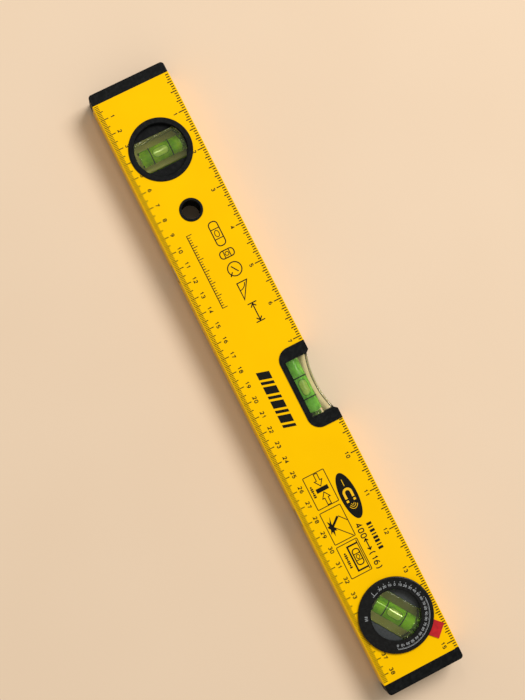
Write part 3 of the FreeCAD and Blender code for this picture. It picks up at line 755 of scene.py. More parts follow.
# Each digit's strokes on a grid four wide and six high.
GRID_WIDE, GRID_HIGH = 4, 6
DIGITS: dict[str, tuple[tuple[Point, ...], ...]] = {
    "0": (((0, 3), (0, 5), (1, 6), (3, 6), (4, 5), (4, 1), (3, 0), (1, 0), (0, 1), (0, 3)),),
    "1": (((0.8, 4.7), (2.4, 6), (2.4, 0)),),
    "2": (((0, 5), (1, 6), (3, 6), (4, 5), (4, 4), (0, 0), (4, 0)),),
    "3": (((0, 5.2), (1, 6), (3, 6), (4, 5), (4, 4), (3, 3.2), (1.6, 3.2)),
          ((3, 3.2), (4, 2.2), (4, 1), (3, 0), (1, 0), (0, 0.8))),
    "4": (((3, 0), (3, 6), (0, 1.8), (4.2, 1.8)),),
    "5": (((4, 6), (0.4, 6), (0.2, 3.3), (3, 3.5), (4, 2.6), (4, 1), (3, 0), (1, 0), (0, 0.8)),),
    "6": (((3.4, 6), (1.8, 5.6), (0, 3.4), (0, 1), (1, 0), (3, 0), (4, 1), (4, 2.4), (3, 3.4),
           (1, 3.4), (0, 2.4)),),
    "7": (((0, 6), (4, 6), (1.4, 0)),),
    "8": (((2, 3.2), (1, 3.2), (0, 4.2), (0, 5), (1, 6), (3, 6), (4, 5), (4, 4.2), (3, 3.2),
           (1, 3.2), (0, 2.2), (0, 1), (1, 0), (3, 0), (4, 1), (4, 2.2), (3, 3.2)),),
    "9": (((0.6, 0), (2.2, 0.4), (4, 2.6), (4, 5), (3, 6), (1, 6), (0, 5), (0, 3.6), (1, 2.6),
           (3, 2.6), (4, 3.6)),),
    "(": (((2.4, 6.8), (1.2, 4.8), (1.2, 1.2), (2.4, -0.8)),),
    ")": (((1.6, 6.8), (2.8, 4.8), (2.8, 1.2), (1.6, -0.8)),),
}


@dataclass
class PrintedFilm:
    """Flat closed prints gathered into one mesh, all of one film thickness.

    Attributes:
        level: height of the printed surface, millimetres.
        sunk: how far the film reaches into that surface.
        proud: how far it stands off it.
        sharpest: cosine at which a sharp corner's mitre stops growing.
        weld: distance within which vertices are joined, metres.
        work: the mesh in the making.
        shift: moves the drawing's origin to the print's place, in metres.
    """

    level: float
    sunk: float = 0.02
    proud: float = 0.04
    sharpest: float = 0.35
    weld: float = 1e-7
    work: BMesh = field(default_factory=bmesh.new)
    shift: Matrix = field(default_factory=Matrix)

    @property
    def low(self) -> float:
        """Underside of the film."""
        return self.level - self.sunk

    @property
    def high(self) -> float:
        """Top of the film."""
        return self.level + self.proud

    def put(self, x: float, y: float, z: float) -> BMVert:
        """One vertex at a place in millimetres, moved by the film's shift."""
        return self.work.verts.new(self.shift @ Vector((x * MM, y * MM, z * MM)))

    def polygon(self, points: Sequence[Point]) -> None:
        """A filled outline.

        Args:
            points: the corners in order round it.
        """
        lower = [self.put(x, y, self.low) for x, y in points]
        upper = [self.put(x, y, self.high) for x, y in points]
        self.work.faces.new(upper)
        self.work.faces.new(lower[::-1])
        join_rings(self.work, lower, upper)

    def bar(self, x: float, y: float, width: float, height: float, slant: float = 0.0) -> None:
        """A filled bar.

        Args:
            x: middle along the level.
            y: middle across it.
            width: its length along the level.
            height: its length across it.
            slant: how far its top is moved along from its foot.
        """
        left, right, low, high = x - width / 2, x + width / 2, y - height / 2, y + height / 2
        half = slant / 2
        self.polygon([(left - half, low), (right - half, low), (right + half, high),
                      (left + half, high)])

    def stroke(self, points: Sequence[Point], width: float, closed: bool = False) -> None:
        """A line of even width through the points, mitred at its corners.

        Args:
            points: its middle line.
            width: its width.
            closed: whether it runs back to its first point.
        """
        count = len(points)
        sides: list[tuple[Point, Point]] = []
        for i, (x, y) in enumerate(points):
            before = points[i - 1] if i or closed else points[i]
            after = points[(i + 1) % count] if i < count - 1 or closed else points[i]
            into = Vector((x - before[0], y - before[1]))
            out = Vector((after[0] - x, after[1] - y))
            into = (into if into.length > 0 else out).normalized()
            out = (out if out.length > 0 else into).normalized()
            mean = (into + out).normalized()
            reach = width / 2 / max(self.sharpest, mean.dot(into))
            sides.append(((x - mean.y * reach, y + mean.x * reach),
                          (x + mean.y * reach, y - mean.x * reach)))
        rows = [[self.put(*left, self.high), self.put(*right, self.high),
                 self.put(*right, self.low), self.put(*left, self.low)] for left, right in sides]
        for i in range(count if closed else count - 1):
            join_rings(self.work, rows[i], rows[(i + 1) % count])
        if not closed:
            self.work.faces.new(rows[0])
            self.work.faces.new(rows[-1][::-1])

    def digits(self, text: str, x: float, y: float, height: float, weight: float,
               turn: float = 0.0, widen: float = 1.0) -> None:
        """Digits about (x, y).

        Args:
            text: the digits.
            x: place along the level.
            y: place across it.
            height: height of a digit.
            weight: width of a stroke.
            turn: anticlockwise turn, degrees.
            widen: sideways stretch.
        """
        unit = (height - weight) / GRID_HIGH
        pitch = (GRID_WIDE * unit + 2 * weight) * widen
        ahead, up = math.cos(math.radians(turn)), math.sin(math.radians(turn))
        for number, digit in enumerate(text):
            middle = (number - (len(text) - 1) / 2) * pitch
            for line in DIGITS[digit]:
                spots = [(middle + (a - GRID_WIDE / 2) * unit * widen, (b - GRID_HIGH / 2) * unit)
                         for a, b in line]
                self.stroke([(x + a * ahead - b * up, y + a * up + b * ahead) for a, b in spots],
                            weight)

    def finished(self, name: str) -> Mesh:
        """The gathered mesh, welded and with its faces turned outwards.

        Args:
            name: the mesh's name.

        Returns:
            A new mesh in metres.
        """
        bmesh.ops.remove_doubles(self.work, verts=self.work.verts, dist=self.weld)
        return made_mesh(self.work, name)


def oval(x: float, y: float, half_x: float, half_y: float, count: int = 48,
         start: float = 0.0, sweep: float = WHOLE_TURN) -> list[Point]:
    """Points round an ellipse, or along part of it.

    Args:
        x: middle along the level.
        y: middle across it.
        half_x: half its length.
        half_y: half its height.
        count: number of steps.
        start: first angle, degrees.
        sweep: angle covered; a whole turn leaves out the repeated last point.

    Returns:
        The points in order.
    """
    steps = count if abs(sweep) >= WHOLE_TURN else count + 1
    angles = [math.radians(start + sweep * i / count) for i in range(steps)]
    return [(x + half_x * math.cos(a), y + half_y * math.sin(a)) for a in angles]


def rounded_box(x: float, y: float, width: float, height: float, corner: float,
                corner_steps: int = 6) -> list[Point]:
    """Points round a rectangle with rounded corners.

    Args:
        x: middle along the level.
        y: middle across it.
        width: its length along the level.
        height: its height across it.
        corner: corner radius.
        corner_steps: steps round each corner.

    Returns:
        The points, anticlockwise.
    """
    quarter_turn = WHOLE_TURN / 4
    points: list[Point] = []
    reach_x, reach_y = width / 2 - corner, height / 2 - corner
    for quarter, (side_x, side_y) in enumerate(((1, 1), (-1, 1), (-1, -1), (1, -1))):
        points += oval(x + side_x * reach_x, y + side_y * reach_y, corner, corner,
                       corner_steps, quarter * quarter_turn, quarter_turn)
    return points


def lathe(profile: Sequence[Point], steps: int = 64) -> Mesh:
    """A closed solid turned about the X axis.

    Args:
        profile: (x, radius) pairs from one end on the axis to the other, in millimetres.
        steps: facets round the axis.

    Returns:
        A smooth-shaded mesh in metres.
    """
    work = bmesh.new()
    first = work.verts.new((profile[0][0] * MM, 0, 0))
    last = work.verts.new((profile[-1][0] * MM, 0, 0))
    rings = []
    for x, radius in profile[1:-1]:
        angles = [math.tau * i / steps for i in range(steps)]
        rings.append([work.verts.new((x * MM, radius * MM * math.cos(a), radius * MM * math.sin(a)))
                      for a in angles])
    join_tip(work, first, rings[0])
    join_tip(work, last, rings[-1])
    for ring, following in zip(rings, rings[1:]):
        join_rings(work, ring, following)
    return made_mesh(work, "turned", smooth=True)


# ---- Sub-assemblies ----------------------------------------------------------------------------


@dataclass
class Places:
    """Where things are, read from the frame, in millimetres.

    Attributes:
        face: height of the printed face.
        left: the profile's left end.
        right: its right end.
        edge: its top edge, with the base edge as far the other way.
    """

    face: float
    left: float
    right: float
    edge: float

    @classmethod
    def read(cls) -> "Places":
        """Read the profile's faces and ends from its CAD node."""
        low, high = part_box("profile")
        return cls(face=high.z / MM, left=low.x / MM, right=high.x / MM, edge=high.y / MM)


@dataclass
class Vial:
    """One vial: the block and what is in its bore, modelled with the axis along X.

    Attributes:
        name: the start of its CAD nodes' names.
        body: the body that it rides on.
        turn: direction of its axis from +X, degrees.
        bore: radius of the bore.
        liquid: this vial's liquid.
        acrylic: the block's material.
        overlap: how far the liquid's skin runs into the acrylic, so that no air shows between.
        end_round: radius round the liquid's ends.
        end_steps: steps round that radius.
        line_width: width of each marked line.
        line_sunk: how deep the lines start in the acrylic, clear of the bubble's path.
        line_film: their thickness.
        bubble: length and width of the bubble against the wall.
        bubble_depth: how deep the bubble hangs at its middle.
        bubble_corner: share of the bubble's half width that its corners' radius takes.
        bubble_proud: how far its top stands out of the liquid's skin.
        bubble_steps: steps from its middle to its outline.
        rim: width of the dark rim of painted shade where the liquid climbs round the bubble.
        rim_proud: how far the rim stands out of the liquid's skin.
        rim_depth: how deep it reaches.
        ring_steps: facets round each marked line.
    """

    name: str
    body: Rides
    turn: float
    bore: float
    liquid: Material
    acrylic: Material
    overlap: float = 0.03
    end_round: float = 0.9
    end_steps: int = 6
    line_width: float = 0.72
    line_sunk: float = 0.09
    line_film: float = 0.14
    bubble: Pair = (9.7, 5.3)
    bubble_depth: float = 1.7
    bubble_corner: float = 0.92
    bubble_proud: float = 0.03
    bubble_steps: int = 6
    rim: float = 0.36
    rim_proud: float = 0.02
    rim_depth: float = 0.5
    ring_steps: int = 72

    def node(self, piece: str) -> str:
        """Name of one of this vial's CAD nodes."""
        return f"{self.name}_vial_{piece}"

    def seat(self) -> Matrix:
        """The vial's place: middle of its marked lines, turned to its axis."""
        low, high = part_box(self.node("lines"))
        return (Matrix.Translation((low + high) / 2)
                @ Matrix.Rotation(math.radians(self.turn), 4, "Z"))

    def span(self, piece: str) -> Pair:
        """How far a CAD node reaches each way along the vial, millimetres.

        Args:
            piece: the node's last word.

        Returns:
            Its two ends along the axis, from the middle of the marked lines.
        """
        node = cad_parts[self.node(piece)]
        inward = self.seat().inverted() @ node.matrix_world
        along = [(inward @ vertex.co).x / MM for vertex in node.data.vertices]
        return min(along), max(along)

    def placed(self, mesh: Mesh) -> Mesh:
        """Move a mesh from the vial's own axes to the frame's."""
        mesh.transform(self.seat())
        return mesh

    def liquid_mesh(self) -> Mesh:
        """The filled bore as a rod with rounded ends."""
        low, high = self.span("liquid")
        radius, soft = self.bore + self.overlap, self.end_round
        turns = [math.pi / 2 * i / self.end_steps for i in range(self.end_steps + 1)]
        bend = [(soft * (1 - math.cos(a)), radius - soft * (1 - math.sin(a))) for a in turns]
        left = [(low, 0.0)] + [(low + x, r) for x, r in bend]
        right = [(high - x, r) for x, r in reversed(bend)] + [(high, 0.0)]
        return lathe(left + right)

    def lines_mesh(self) -> Mesh:
        """Two black rings in the acrylic, just outside the bore's wall."""
        low, high = self.span("lines")
        inner = self.bore + self.line_sunk
        outer = inner + self.line_film
        work = bmesh.new()
        turns = [math.tau * i / self.ring_steps for i in range(self.ring_steps)]
        for end, side in ((low, 1), (high, -1)):
            edges = (end * MM, (end + side * self.line_width) * MM)
            rings = []
            for x, radius in ((edges[0], inner), (edges[0], outer), (edges[1], outer),
                              (edges[1], inner)):
                rings.append([work.verts.new((x, radius * MM * math.sin(a),
                                              radius * MM * math.cos(a))) for a in turns])
            for k, ring in enumerate(rings):
                join_rings(work, ring, rings[(k + 1) % len(rings)])
        return made_mesh(work, f"{self.name}_lines")

    def outline(self, grow: float) -> list[Point]:
        """The bubble's rounded outline: along the vial, and round its wall.

        Args:
            grow: added on every side.

        Returns:
            (along, round) pairs, with the second measured on the bore's wall.
        """
        half_x, half_y = self.bubble[0] / 2 + grow, self.bubble[1] / 2 + grow
        corner = min(half_x, half_y) * self.bubble_corner
        return rounded_box(0.0, 0.0, half_x * 2, half_y * 2, corner)

    def on_wall(self, work: BMesh, along: float, around: float, depth: float) -> BMVert:
        """A vertex under the top of the bore's wall.

        Args:
            work: the mesh in the making.
            along: place along the vial, millimetres.
            around: place round the wall, measured on it.
            depth: how far it lies inside the liquid's skin.

        Returns:
            The new vertex.
        """
        angle = around / self.bore
        radius = (self.bore + self.overlap - depth) * MM
        return work.verts.new((along * MM, radius * math.sin(angle), radius * math.cos(angle)))

    def bubble_mesh(self) -> Mesh:
        """The bubble: flattened against the wall above, bowl-shaped below."""
        work = bmesh.new()
        edge = self.outline(0.0)
        shares = [math.sin(math.pi / 2 * i / self.bubble_steps)
                  for i in range(1, self.bubble_steps + 1)]
        upper, lower = [], []
        for share in shares:
            sink = self.bubble_depth * math.sqrt(max(0.0, 1.0 - share * share))
            lift = self.bubble_proud * (1.0 - share)
            upper.append([self.on_wall(work, x * share, y * share, -lift) for x, y in edge])
            if share < 1.0:
                lower.append([self.on_wall(work, x * share, y * share, sink) for x, y in edge])
        lower.append(upper[-1])
        top = self.on_wall(work, 0.0, 0.0, -self.bubble_proud)
        bottom = self.on_wall(work, 0.0, 0.0, self.bubble_depth)
        for rings, tip in ((upper, top), (lower, bottom)):
            join_tip(work, tip, rings[0])
            for ring, following in zip(rings, rings[1:]):
                join_rings(work, ring, following)
        return made_mesh(work, f"{self.name}_bubble", smooth=True)

    def rim_mesh(self) -> Mesh:
        """The dark rim round the bubble: painted shade for the curved meniscus's dark edge."""
        work = bmesh.new()
        inner, outer = self.outline(0.0), self.outline(self.rim)
        top, foot = -self.rim_proud, self.rim_depth
        rows = [[self.on_wall(work, x, y, depth) for x, y in edge]
                for edge, depth in ((inner, top), (outer, top), (outer, foot), (inner, foot))]
        for k, row in enumerate(rows):
            join_rings(work, row, rows[(k + 1) % len(rows)])
        return made_mesh(work, f"{self.name}_rim")

    def build(self, finishes: Finishes) -> None:
        """Dress the CAD nodes and put in the liquid, the lines and the bubble.

        Args:
            finishes: the level's materials.
        """
        dress([self.node("block")], self.acrylic)
        dress([self.node("plug")], finishes.stopper)
        dress([self.node("lines")], finishes.line)
        dress([self.node("bubble")], finishes.bubble)
        filled = add_piece(f"{self.name}_liquid", self.placed(self.liquid_mesh()), self.liquid,
                           self.body)
        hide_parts(self.node("liquid"))
        marks = add_piece(f"{self.name}_lines", self.placed(self.lines_mesh()), finishes.line,
                          self.body)
        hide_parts(self.node("lines"))
        carrier = Rides(f"{self.name}_bubble")
        air = add_piece(f"{self.name}_air", self.placed(self.bubble_mesh()), finishes.bubble,
                        carrier)
        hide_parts(self.node("bubble"))
        # A film of painted shade round the bubble, riding with it.
        add_piece(f"{self.name}_bubble_shade_rim", self.placed(self.rim_mesh()), finishes.rim, carrier)


@dataclass
class ProfileAndCaps:
    """The coated profile, its end caps, magnets and the sleeve in the hanging hole."""

    def build(self, finishes: Finishes) -> None:
        """Dress them all.

        Args:
            finishes: the level's materials.
        """
        dress(["profile"], finishes.coat)
        dress(["end_cap_left", "end_cap_right", "hang_sleeve_front", "hang_sleeve_back",
               "plumb_bezel_front", "plumb_bezel_back", "centre_frame", "magnet_cups"],
              finishes.black)
        dress(["base_magnets"], finishes.nickel)


@dataclass
class EdgeScales:
    """The inch scale along the top edge and the centimetre scale along the base edge.

    Attributes:
        places: where the profile's ends and edges are.
        margin: from the profile's edge to the outer ends of the ticks.
        inch: millimetres in an inch.
        gap: kept clear each side of the edge vial's frame.
        tick: width of the inch scale's ticks.
        fine_tick: width of a millimetre's tick.
        long_tick: width of the ticks of five and ten millimetres.
        inch_drops: a tick's length by the sixteenths that it stands for.
        sixteenth_drop: length of every other tick of the inch scale.
        metric_rises: a tick's length by the millimetres that it stands for.
        fine_rise: length of every other tick of the metric scale.
        digit: height of a digit.
        digit_weight: width of its strokes.
        inch_digit_drop: from the top edge to the middle of the inch scale's digits.
        metric_digit_rise: from the base edge to the middle of the other scale's.
    """

    places: Places
    margin: float = 0.6
    inch: float = 25.4
    gap: float = 0.4
    tick: float = 0.62
    fine_tick: float = 0.42
    long_tick: float = 0.5
    inch_drops: tuple[tuple[int, float], ...] = ((16, 5.0), (8, 3.9), (4, 3.1))
    sixteenth_drop: float = 2.1
    metric_rises: tuple[tuple[int, float], ...] = ((10, 5.1), (5, 3.9))
    fine_rise: float = 2.6
    digit: float = 2.5
    digit_weight: float = 0.5
    inch_digit_drop: float = 7.9
    metric_digit_rise: float = 8.3

    def reach(self, number: int, steps: Sequence[tuple[int, float]], least: float) -> float:
        """Length of one tick.

        Args:
            number: its place in the scale.
            steps: lengths by the step that they stand for, the longest first.
            least: the length of every other tick.

        Returns:
            The length in millimetres.
        """
        return next((length for step, length in steps if number % step == 0), least)

    def inch_film(self) -> PrintedFilm:
        """Sixteenths of an inch from the profile's left end."""
        film = PrintedFilm(self.places.face)
        frame_low, frame_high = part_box("centre_frame")
        whole = self.inch_drops[0][0]
        top = self.places.edge - self.margin
        count = int((self.places.right - self.places.left) / self.inch * whole)
        for number in range(1, count + 1):
            x = self.places.left + number * self.inch / whole
            if frame_low.x / MM - self.gap < x < frame_high.x / MM + self.gap:
                continue
            drop = self.reach(number, self.inch_drops, self.sixteenth_drop)
            film.bar(x, top - drop / 2, self.tick, drop)
            if number % whole == 0:
                film.digits(str(number // whole), x, self.places.edge - self.inch_digit_drop,
                            self.digit, self.digit_weight)
        return film

    def metric_film(self) -> PrintedFilm:
        """Millimetres from the profile's left end."""
        film = PrintedFilm(self.places.face)
        whole = self.metric_rises[0][0]
        bottom = -self.places.edge + self.margin
        for number in range(1, int(self.places.right - self.places.left)):
            x = self.places.left + number
            rise = self.reach(number, self.metric_rises, self.fine_rise)
            width = self.long_tick if rise > self.fine_rise else self.fine_tick
            if number % whole == 0:
                film.digits(str(number // whole), x, -self.places.edge + self.metric_digit_rise,
                            self.digit, self.digit_weight)
            film.bar(x, bottom + rise / 2, width, rise)
        return film

    def build(self, finishes: Finishes) -> None:
        """Print both scales.

        Args:
            finishes: the level's materials.
        """
        for name, film in (("inch_scale", self.inch_film()), ("metric_scale", self.metric_film())):
            add_piece(name, film.finished(name), finishes.black_ink, Rides.LEVEL)


@dataclass
class FaceSymbols:
    """Plain symbols on the face: what the level checks, its magnet, its care and its length.

    Each place is the middle of a symbol in millimetres along and across the level.

    Attributes:
        places: where the printed face is.
        fine: width of the thinnest lines.
        line: width of the other lines.
        row_y: middle of the row of uses, across the level.
        vial_sign: place along the level, length and height of the level vial in that row.
        plumb_sign: the same of the plumb vial.
        dial_sign: place along the level and radius of the dial.
        slope_sign: left end, right end and rise of the slope.
        span_sign: left and right end of the span.
        rule: left end, right end, place across the level and pitch of the graded rule.
        rule_ticks: its short and long tick.
        bars: left end, place across the level, height and slant of the bold bars.
        bar_widths: the wide bar, the narrow bar and the space between.
        bar_count: how many there are.
        badge: place, half length and half height of the black oval.
        horseshoe: outer and inner radius of its magnet.
        block_pitch: distance between the small blocks of a note.
        length_y: place of the length, across the level.
        length_digit: height of its digits.
        length_weight: width of their strokes.
        block_row: left end, place across the level, pitch and height of the plain blocks.
        block_widths: width of each.
    """

    places: Places
    fine: float = 0.5
    line: float = 0.68
    row_y: float = 7.4
    vial_sign: Triple = (-92.0, 15.5, 5.6)
    plumb_sign: Triple = (-78.7, 9.0, 4.8)
    dial_sign: Pair = (-68.4, 4.3)
    slope_sign: Triple = (-59.7, -49.2, 6.5)
    span_sign: Pair = (-45.6, -33.7)
    rule: Quad = (-98.6, -50.2, -9.8, 1.6)
    rule_ticks: Pair = (1.9, 3.3)
    bars: Quad = (-5.8, -5.8, 7.8, 2.2)
    bar_widths: Triple = (4.8, 1.9, 1.4)
    bar_count: int = 8
    badge: Quad = (83.2, 7.2, 14.8, 5.25)
    horseshoe: Pair = (3.0, 1.5)
    block_pitch: float = 1.25
    length_y: float = 4.2
    length_digit: float = 3.8
    length_weight: float = 0.64
    block_row: Quad = (103.3, 10.3, 2.25, 3.1)
    block_widths: tuple[float, ...] = (1.6, 0.8, 1.6, 0.8, 1.6, 1.6, 0.8, 1.6)

    def vial_symbol(self, film: PrintedFilm, x: float, y: float, length: float, height: float,
                    upright: bool = False) -> None:
        """A rounded vial with two marks and a bubble.

        Args:
            film: where to print it.
            x: middle along the level.
            y: middle across it.
            length: along the vial.
            height: across the vial.
            upright: whether the vial stands across the level.
        """
        def spot(along: float, across: float) -> Point:
            """The frame's place of a point of the vial."""
            return (x + across, y + along) if upright else (x + along, y + across)

        body = rounded_box(0, 0, length, height, height * 0.42)
        film.stroke([spot(a, b) for a, b in body], self.line, closed=True)
        for side in (-1, 1):
            mark = length * 0.2 * side
            film.stroke([spot(mark, -height / 2), spot(mark, height / 2)], self.line * 0.8)
        bubble = oval(0, 0, length * 0.13, height * 0.24, 20)
        film.stroke([spot(a, b) for a, b in bubble], self.line * 0.7, closed=True)

    def span_symbol(self, film: PrintedFilm, left: float, right: float, y: float,
                    head: float) -> None:
        """A double-headed arrow.

        Args:
            film: where to print it.
            left: its left tip.
            right: its right tip.
            y: middle across the level.
            head: size of its heads.
        """
        film.stroke([(left, y), (right, y)], self.line)
        for side, tip in ((1, left), (-1, right)):
            film.stroke([(tip + side * head, y + head * 0.85), (tip, y),
                         (tip + side * head, y - head * 0.85)], self.line)

    def use_row(self) -> PrintedFilm:
        """A thin-line row: level vial, plumb vial, dial, slope and span."""
        film = PrintedFilm(self.places.face)
        y, line = self.row_y, self.line
        x, length, height = self.vial_sign
        self.vial_symbol(film, x, y, length, height)
        x, length, height = self.plumb_sign
        self.vial_symbol(film, x, y, length, height, upright=True)
        x, radius = self.dial_sign
        film.stroke(oval(x, y, radius, radius, 40), line, closed=True)
        film.stroke([(x - 2.2, y - 1.5), (x + 2.2, y + 1.5)], line)
        film.stroke([(x + 1.3, y - 2.2), (x + 3.6, y - 4.2)], line)
        left, right, rise = self.slope_sign
        foot = y - rise / 2 + 0.25
        film.stroke([(left, foot + rise), (left, foot), (right, foot)], line, closed=True)
        film.stroke(oval(left, foot, 4.6, 4.6, 8, 0.0, 78.0), line * 0.8)
        left, right = self.span_sign
        self.span_symbol(film, left + 0.5, right - 0.5, y, 2.0)
        for x in (left, right):
            film.stroke([(x, y + 2.9), (x, y - 2.9)], line)
        return film

    def graded_rule(self) -> PrintedFilm:
        """A small graded rule below the row."""
        film = PrintedFilm(self.places.face)
        start, end, y, pitch = self.rule
        film.stroke([(start, y), (end, y)], 0.5)
        for number in range(int((end - start) / pitch) + 1):
            height = self.rule_ticks[number % 5 == 0]
            film.bar(start + 0.2 + number * pitch, y + height / 2, 0.45, height)
        return film

    def bold_bars(self) -> PrintedFilm:
        """Bold slanted bars, wide and narrow by turns."""
        film = PrintedFilm(self.places.face)
        x, y, height, slant = self.bars
        for number in range(self.bar_count):
            width = self.bar_widths[number % 2]
            film.bar(x + width / 2, y, width, height, slant)
            x += width + self.bar_widths[2]
        return film

    def magnet_badge(self) -> tuple[PrintedFilm, PrintedFilm]:
        """A black oval, and a yellow horseshoe magnet with its field on it."""
        badge = PrintedFilm(self.places.face)
        x, y, half_x, half_y = self.badge
        badge.polygon(oval(x, y, half_x, half_y, 72))
        sign = PrintedFilm(badge.high, sunk=0.01, proud=0.03)
        outer, inner = self.horseshoe
        bend = oval(x - 2.0, y, (outer + inner) / 2, (outer + inner) / 2, 20, 90.0, 180.0)
        arms = [(x + 1.4, bend[0][1])] + bend + [(x + 1.4, bend[-1][1])]
        sign.stroke(arms, outer - inner)
        for side in (-1, 1):
            sign.bar(x + 3.0, y + side * (outer + inner) / 2, 1.4, outer - inner)
        for number in range(3):
            sign.stroke(oval(x + 3.9, y, 1.8 + number * 1.3, 1.0 + number * 1.0, 14, -60.0, 120.0),
                        0.34)
        sign.stroke([(x - 10.6, y), (x - 6.4, y)], 0.4)
        return badge, sign

    def panel(self, film: PrintedFilm, left: float, right: float, low: float, high: float) -> None:
        """A thin frame round one symbol.

        Args:
            film: where to print it.
            left: its left side.
            right: its right side.
            low: its lower side.
            high: its upper side.
        """
        film.stroke(rounded_box((left + right) / 2, (low + high) / 2, right - left, high - low, 0.5),
                    self.fine, closed=True)

    def small_marks(self, film: PrintedFilm, left: float, right: float, y: float) -> None:
        """A row of small blocks where a note would stand.

        Args:
            film: where to print them.
            left: where the row starts.
            right: where it ends.
            y: its middle across the level.
        """
        for number in range(int((right - left) / self.block_pitch)):
            film.bar(left + 0.4 + number * self.block_pitch, y, 0.95, 1.6 if number % 3 else 1.0)

    def care_panels(self) -> PrintedFilm:
        """Three thin frames: held from both sides, a knock, and a vial in its bracket."""
        film = PrintedFilm(self.places.face)
        fine = self.fine
        self.panel(film, 61.9, 82.8, -13.3, 0.5)
        film.bar(72.4, -5.3, 2.7, 7.8)
        for side in (-1, 1):
            tip, neck, tail = (72.4 - side * d for d in (2.0, 5.6, 9.9))
            film.stroke([(tail, -4.2), (neck, -4.2), (neck, -2.8), (tip, -5.3), (neck, -7.8),
                         (neck, -6.4), (tail, -6.4)], fine, closed=True)
        self.small_marks(film, 68.4, 76.2, -11.2)

        self.panel(film, 85.1, 105.7, -13.6, 0.0)
        film.stroke([(90.9, -4.6), (95.2, -9.8)], 1.4)
        film.stroke([(90.8, -4.2), (95.6, -0.1)], fine)
        film.stroke([(96.2, -9.2), (105.2, -1.0)], fine)
        film.polygon([(89.1, -9.1), (93.4, -9.8), (95.4, -9.2), (98.4, -8.4), (97.8, -9.9),
                      (101.3, -10.8), (97.9, -11.2), (99.2, -12.7), (96.3, -11.7), (94.4, -13.0),
                      (93.9, -11.5), (91.0, -11.9), (92.7, -10.6)])

        self.panel(film, 107.5, 128.0, -13.8, -0.2)
        film.stroke([(110.0, -1.3), (110.0, -7.9), (125.5, -7.9), (125.5, -1.3)], 1.0)
        film.stroke([(108.2, -1.2), (127.3, -1.2)], fine)
        self.vial_symbol(film, 117.8, -4.4, 10.0, 4.2)
        self.small_marks(film, 112.6, 123.2, -10.9)
        return film

    def length_mark(self) -> PrintedFilm:
        """The length in millimetres and inches, under a row of plain blocks."""
        film = PrintedFilm(self.places.face)
        y, height, weight = self.length_y, self.length_digit, self.length_weight
        film.digits("400", 105.0, y, height, weight)
        self.span_symbol(film, 110.4, 117.4, y, 1.5)
        film.digits("(16)", 124.4, y, height, weight, widen=0.9)
        left, y, pitch, height = self.block_row
        for number, width in enumerate(self.block_widths):
            film.bar(left + number * pitch, y, width, height)
        return film

    def build(self, finishes: Finishes) -> None:
        """Print every symbol.

        Args:
            finishes: the level's materials.
        """
        badge, sign = self.magnet_badge()
        films = {"use_symbols": self.use_row(), "graded_rule": self.graded_rule(),
                 "bold_bars": self.bold_bars(), "magnet_badge": badge,
                 "care_panels": self.care_panels(), "length_mark": self.length_mark()}
        for name, film in films.items():
            add_piece(name, film.finished(name), finishes.black_ink, Rides.LEVEL)
        add_piece("magnet_sign", sign.finished("magnet_sign"), finishes.yellow_ink, Rides.LEVEL)


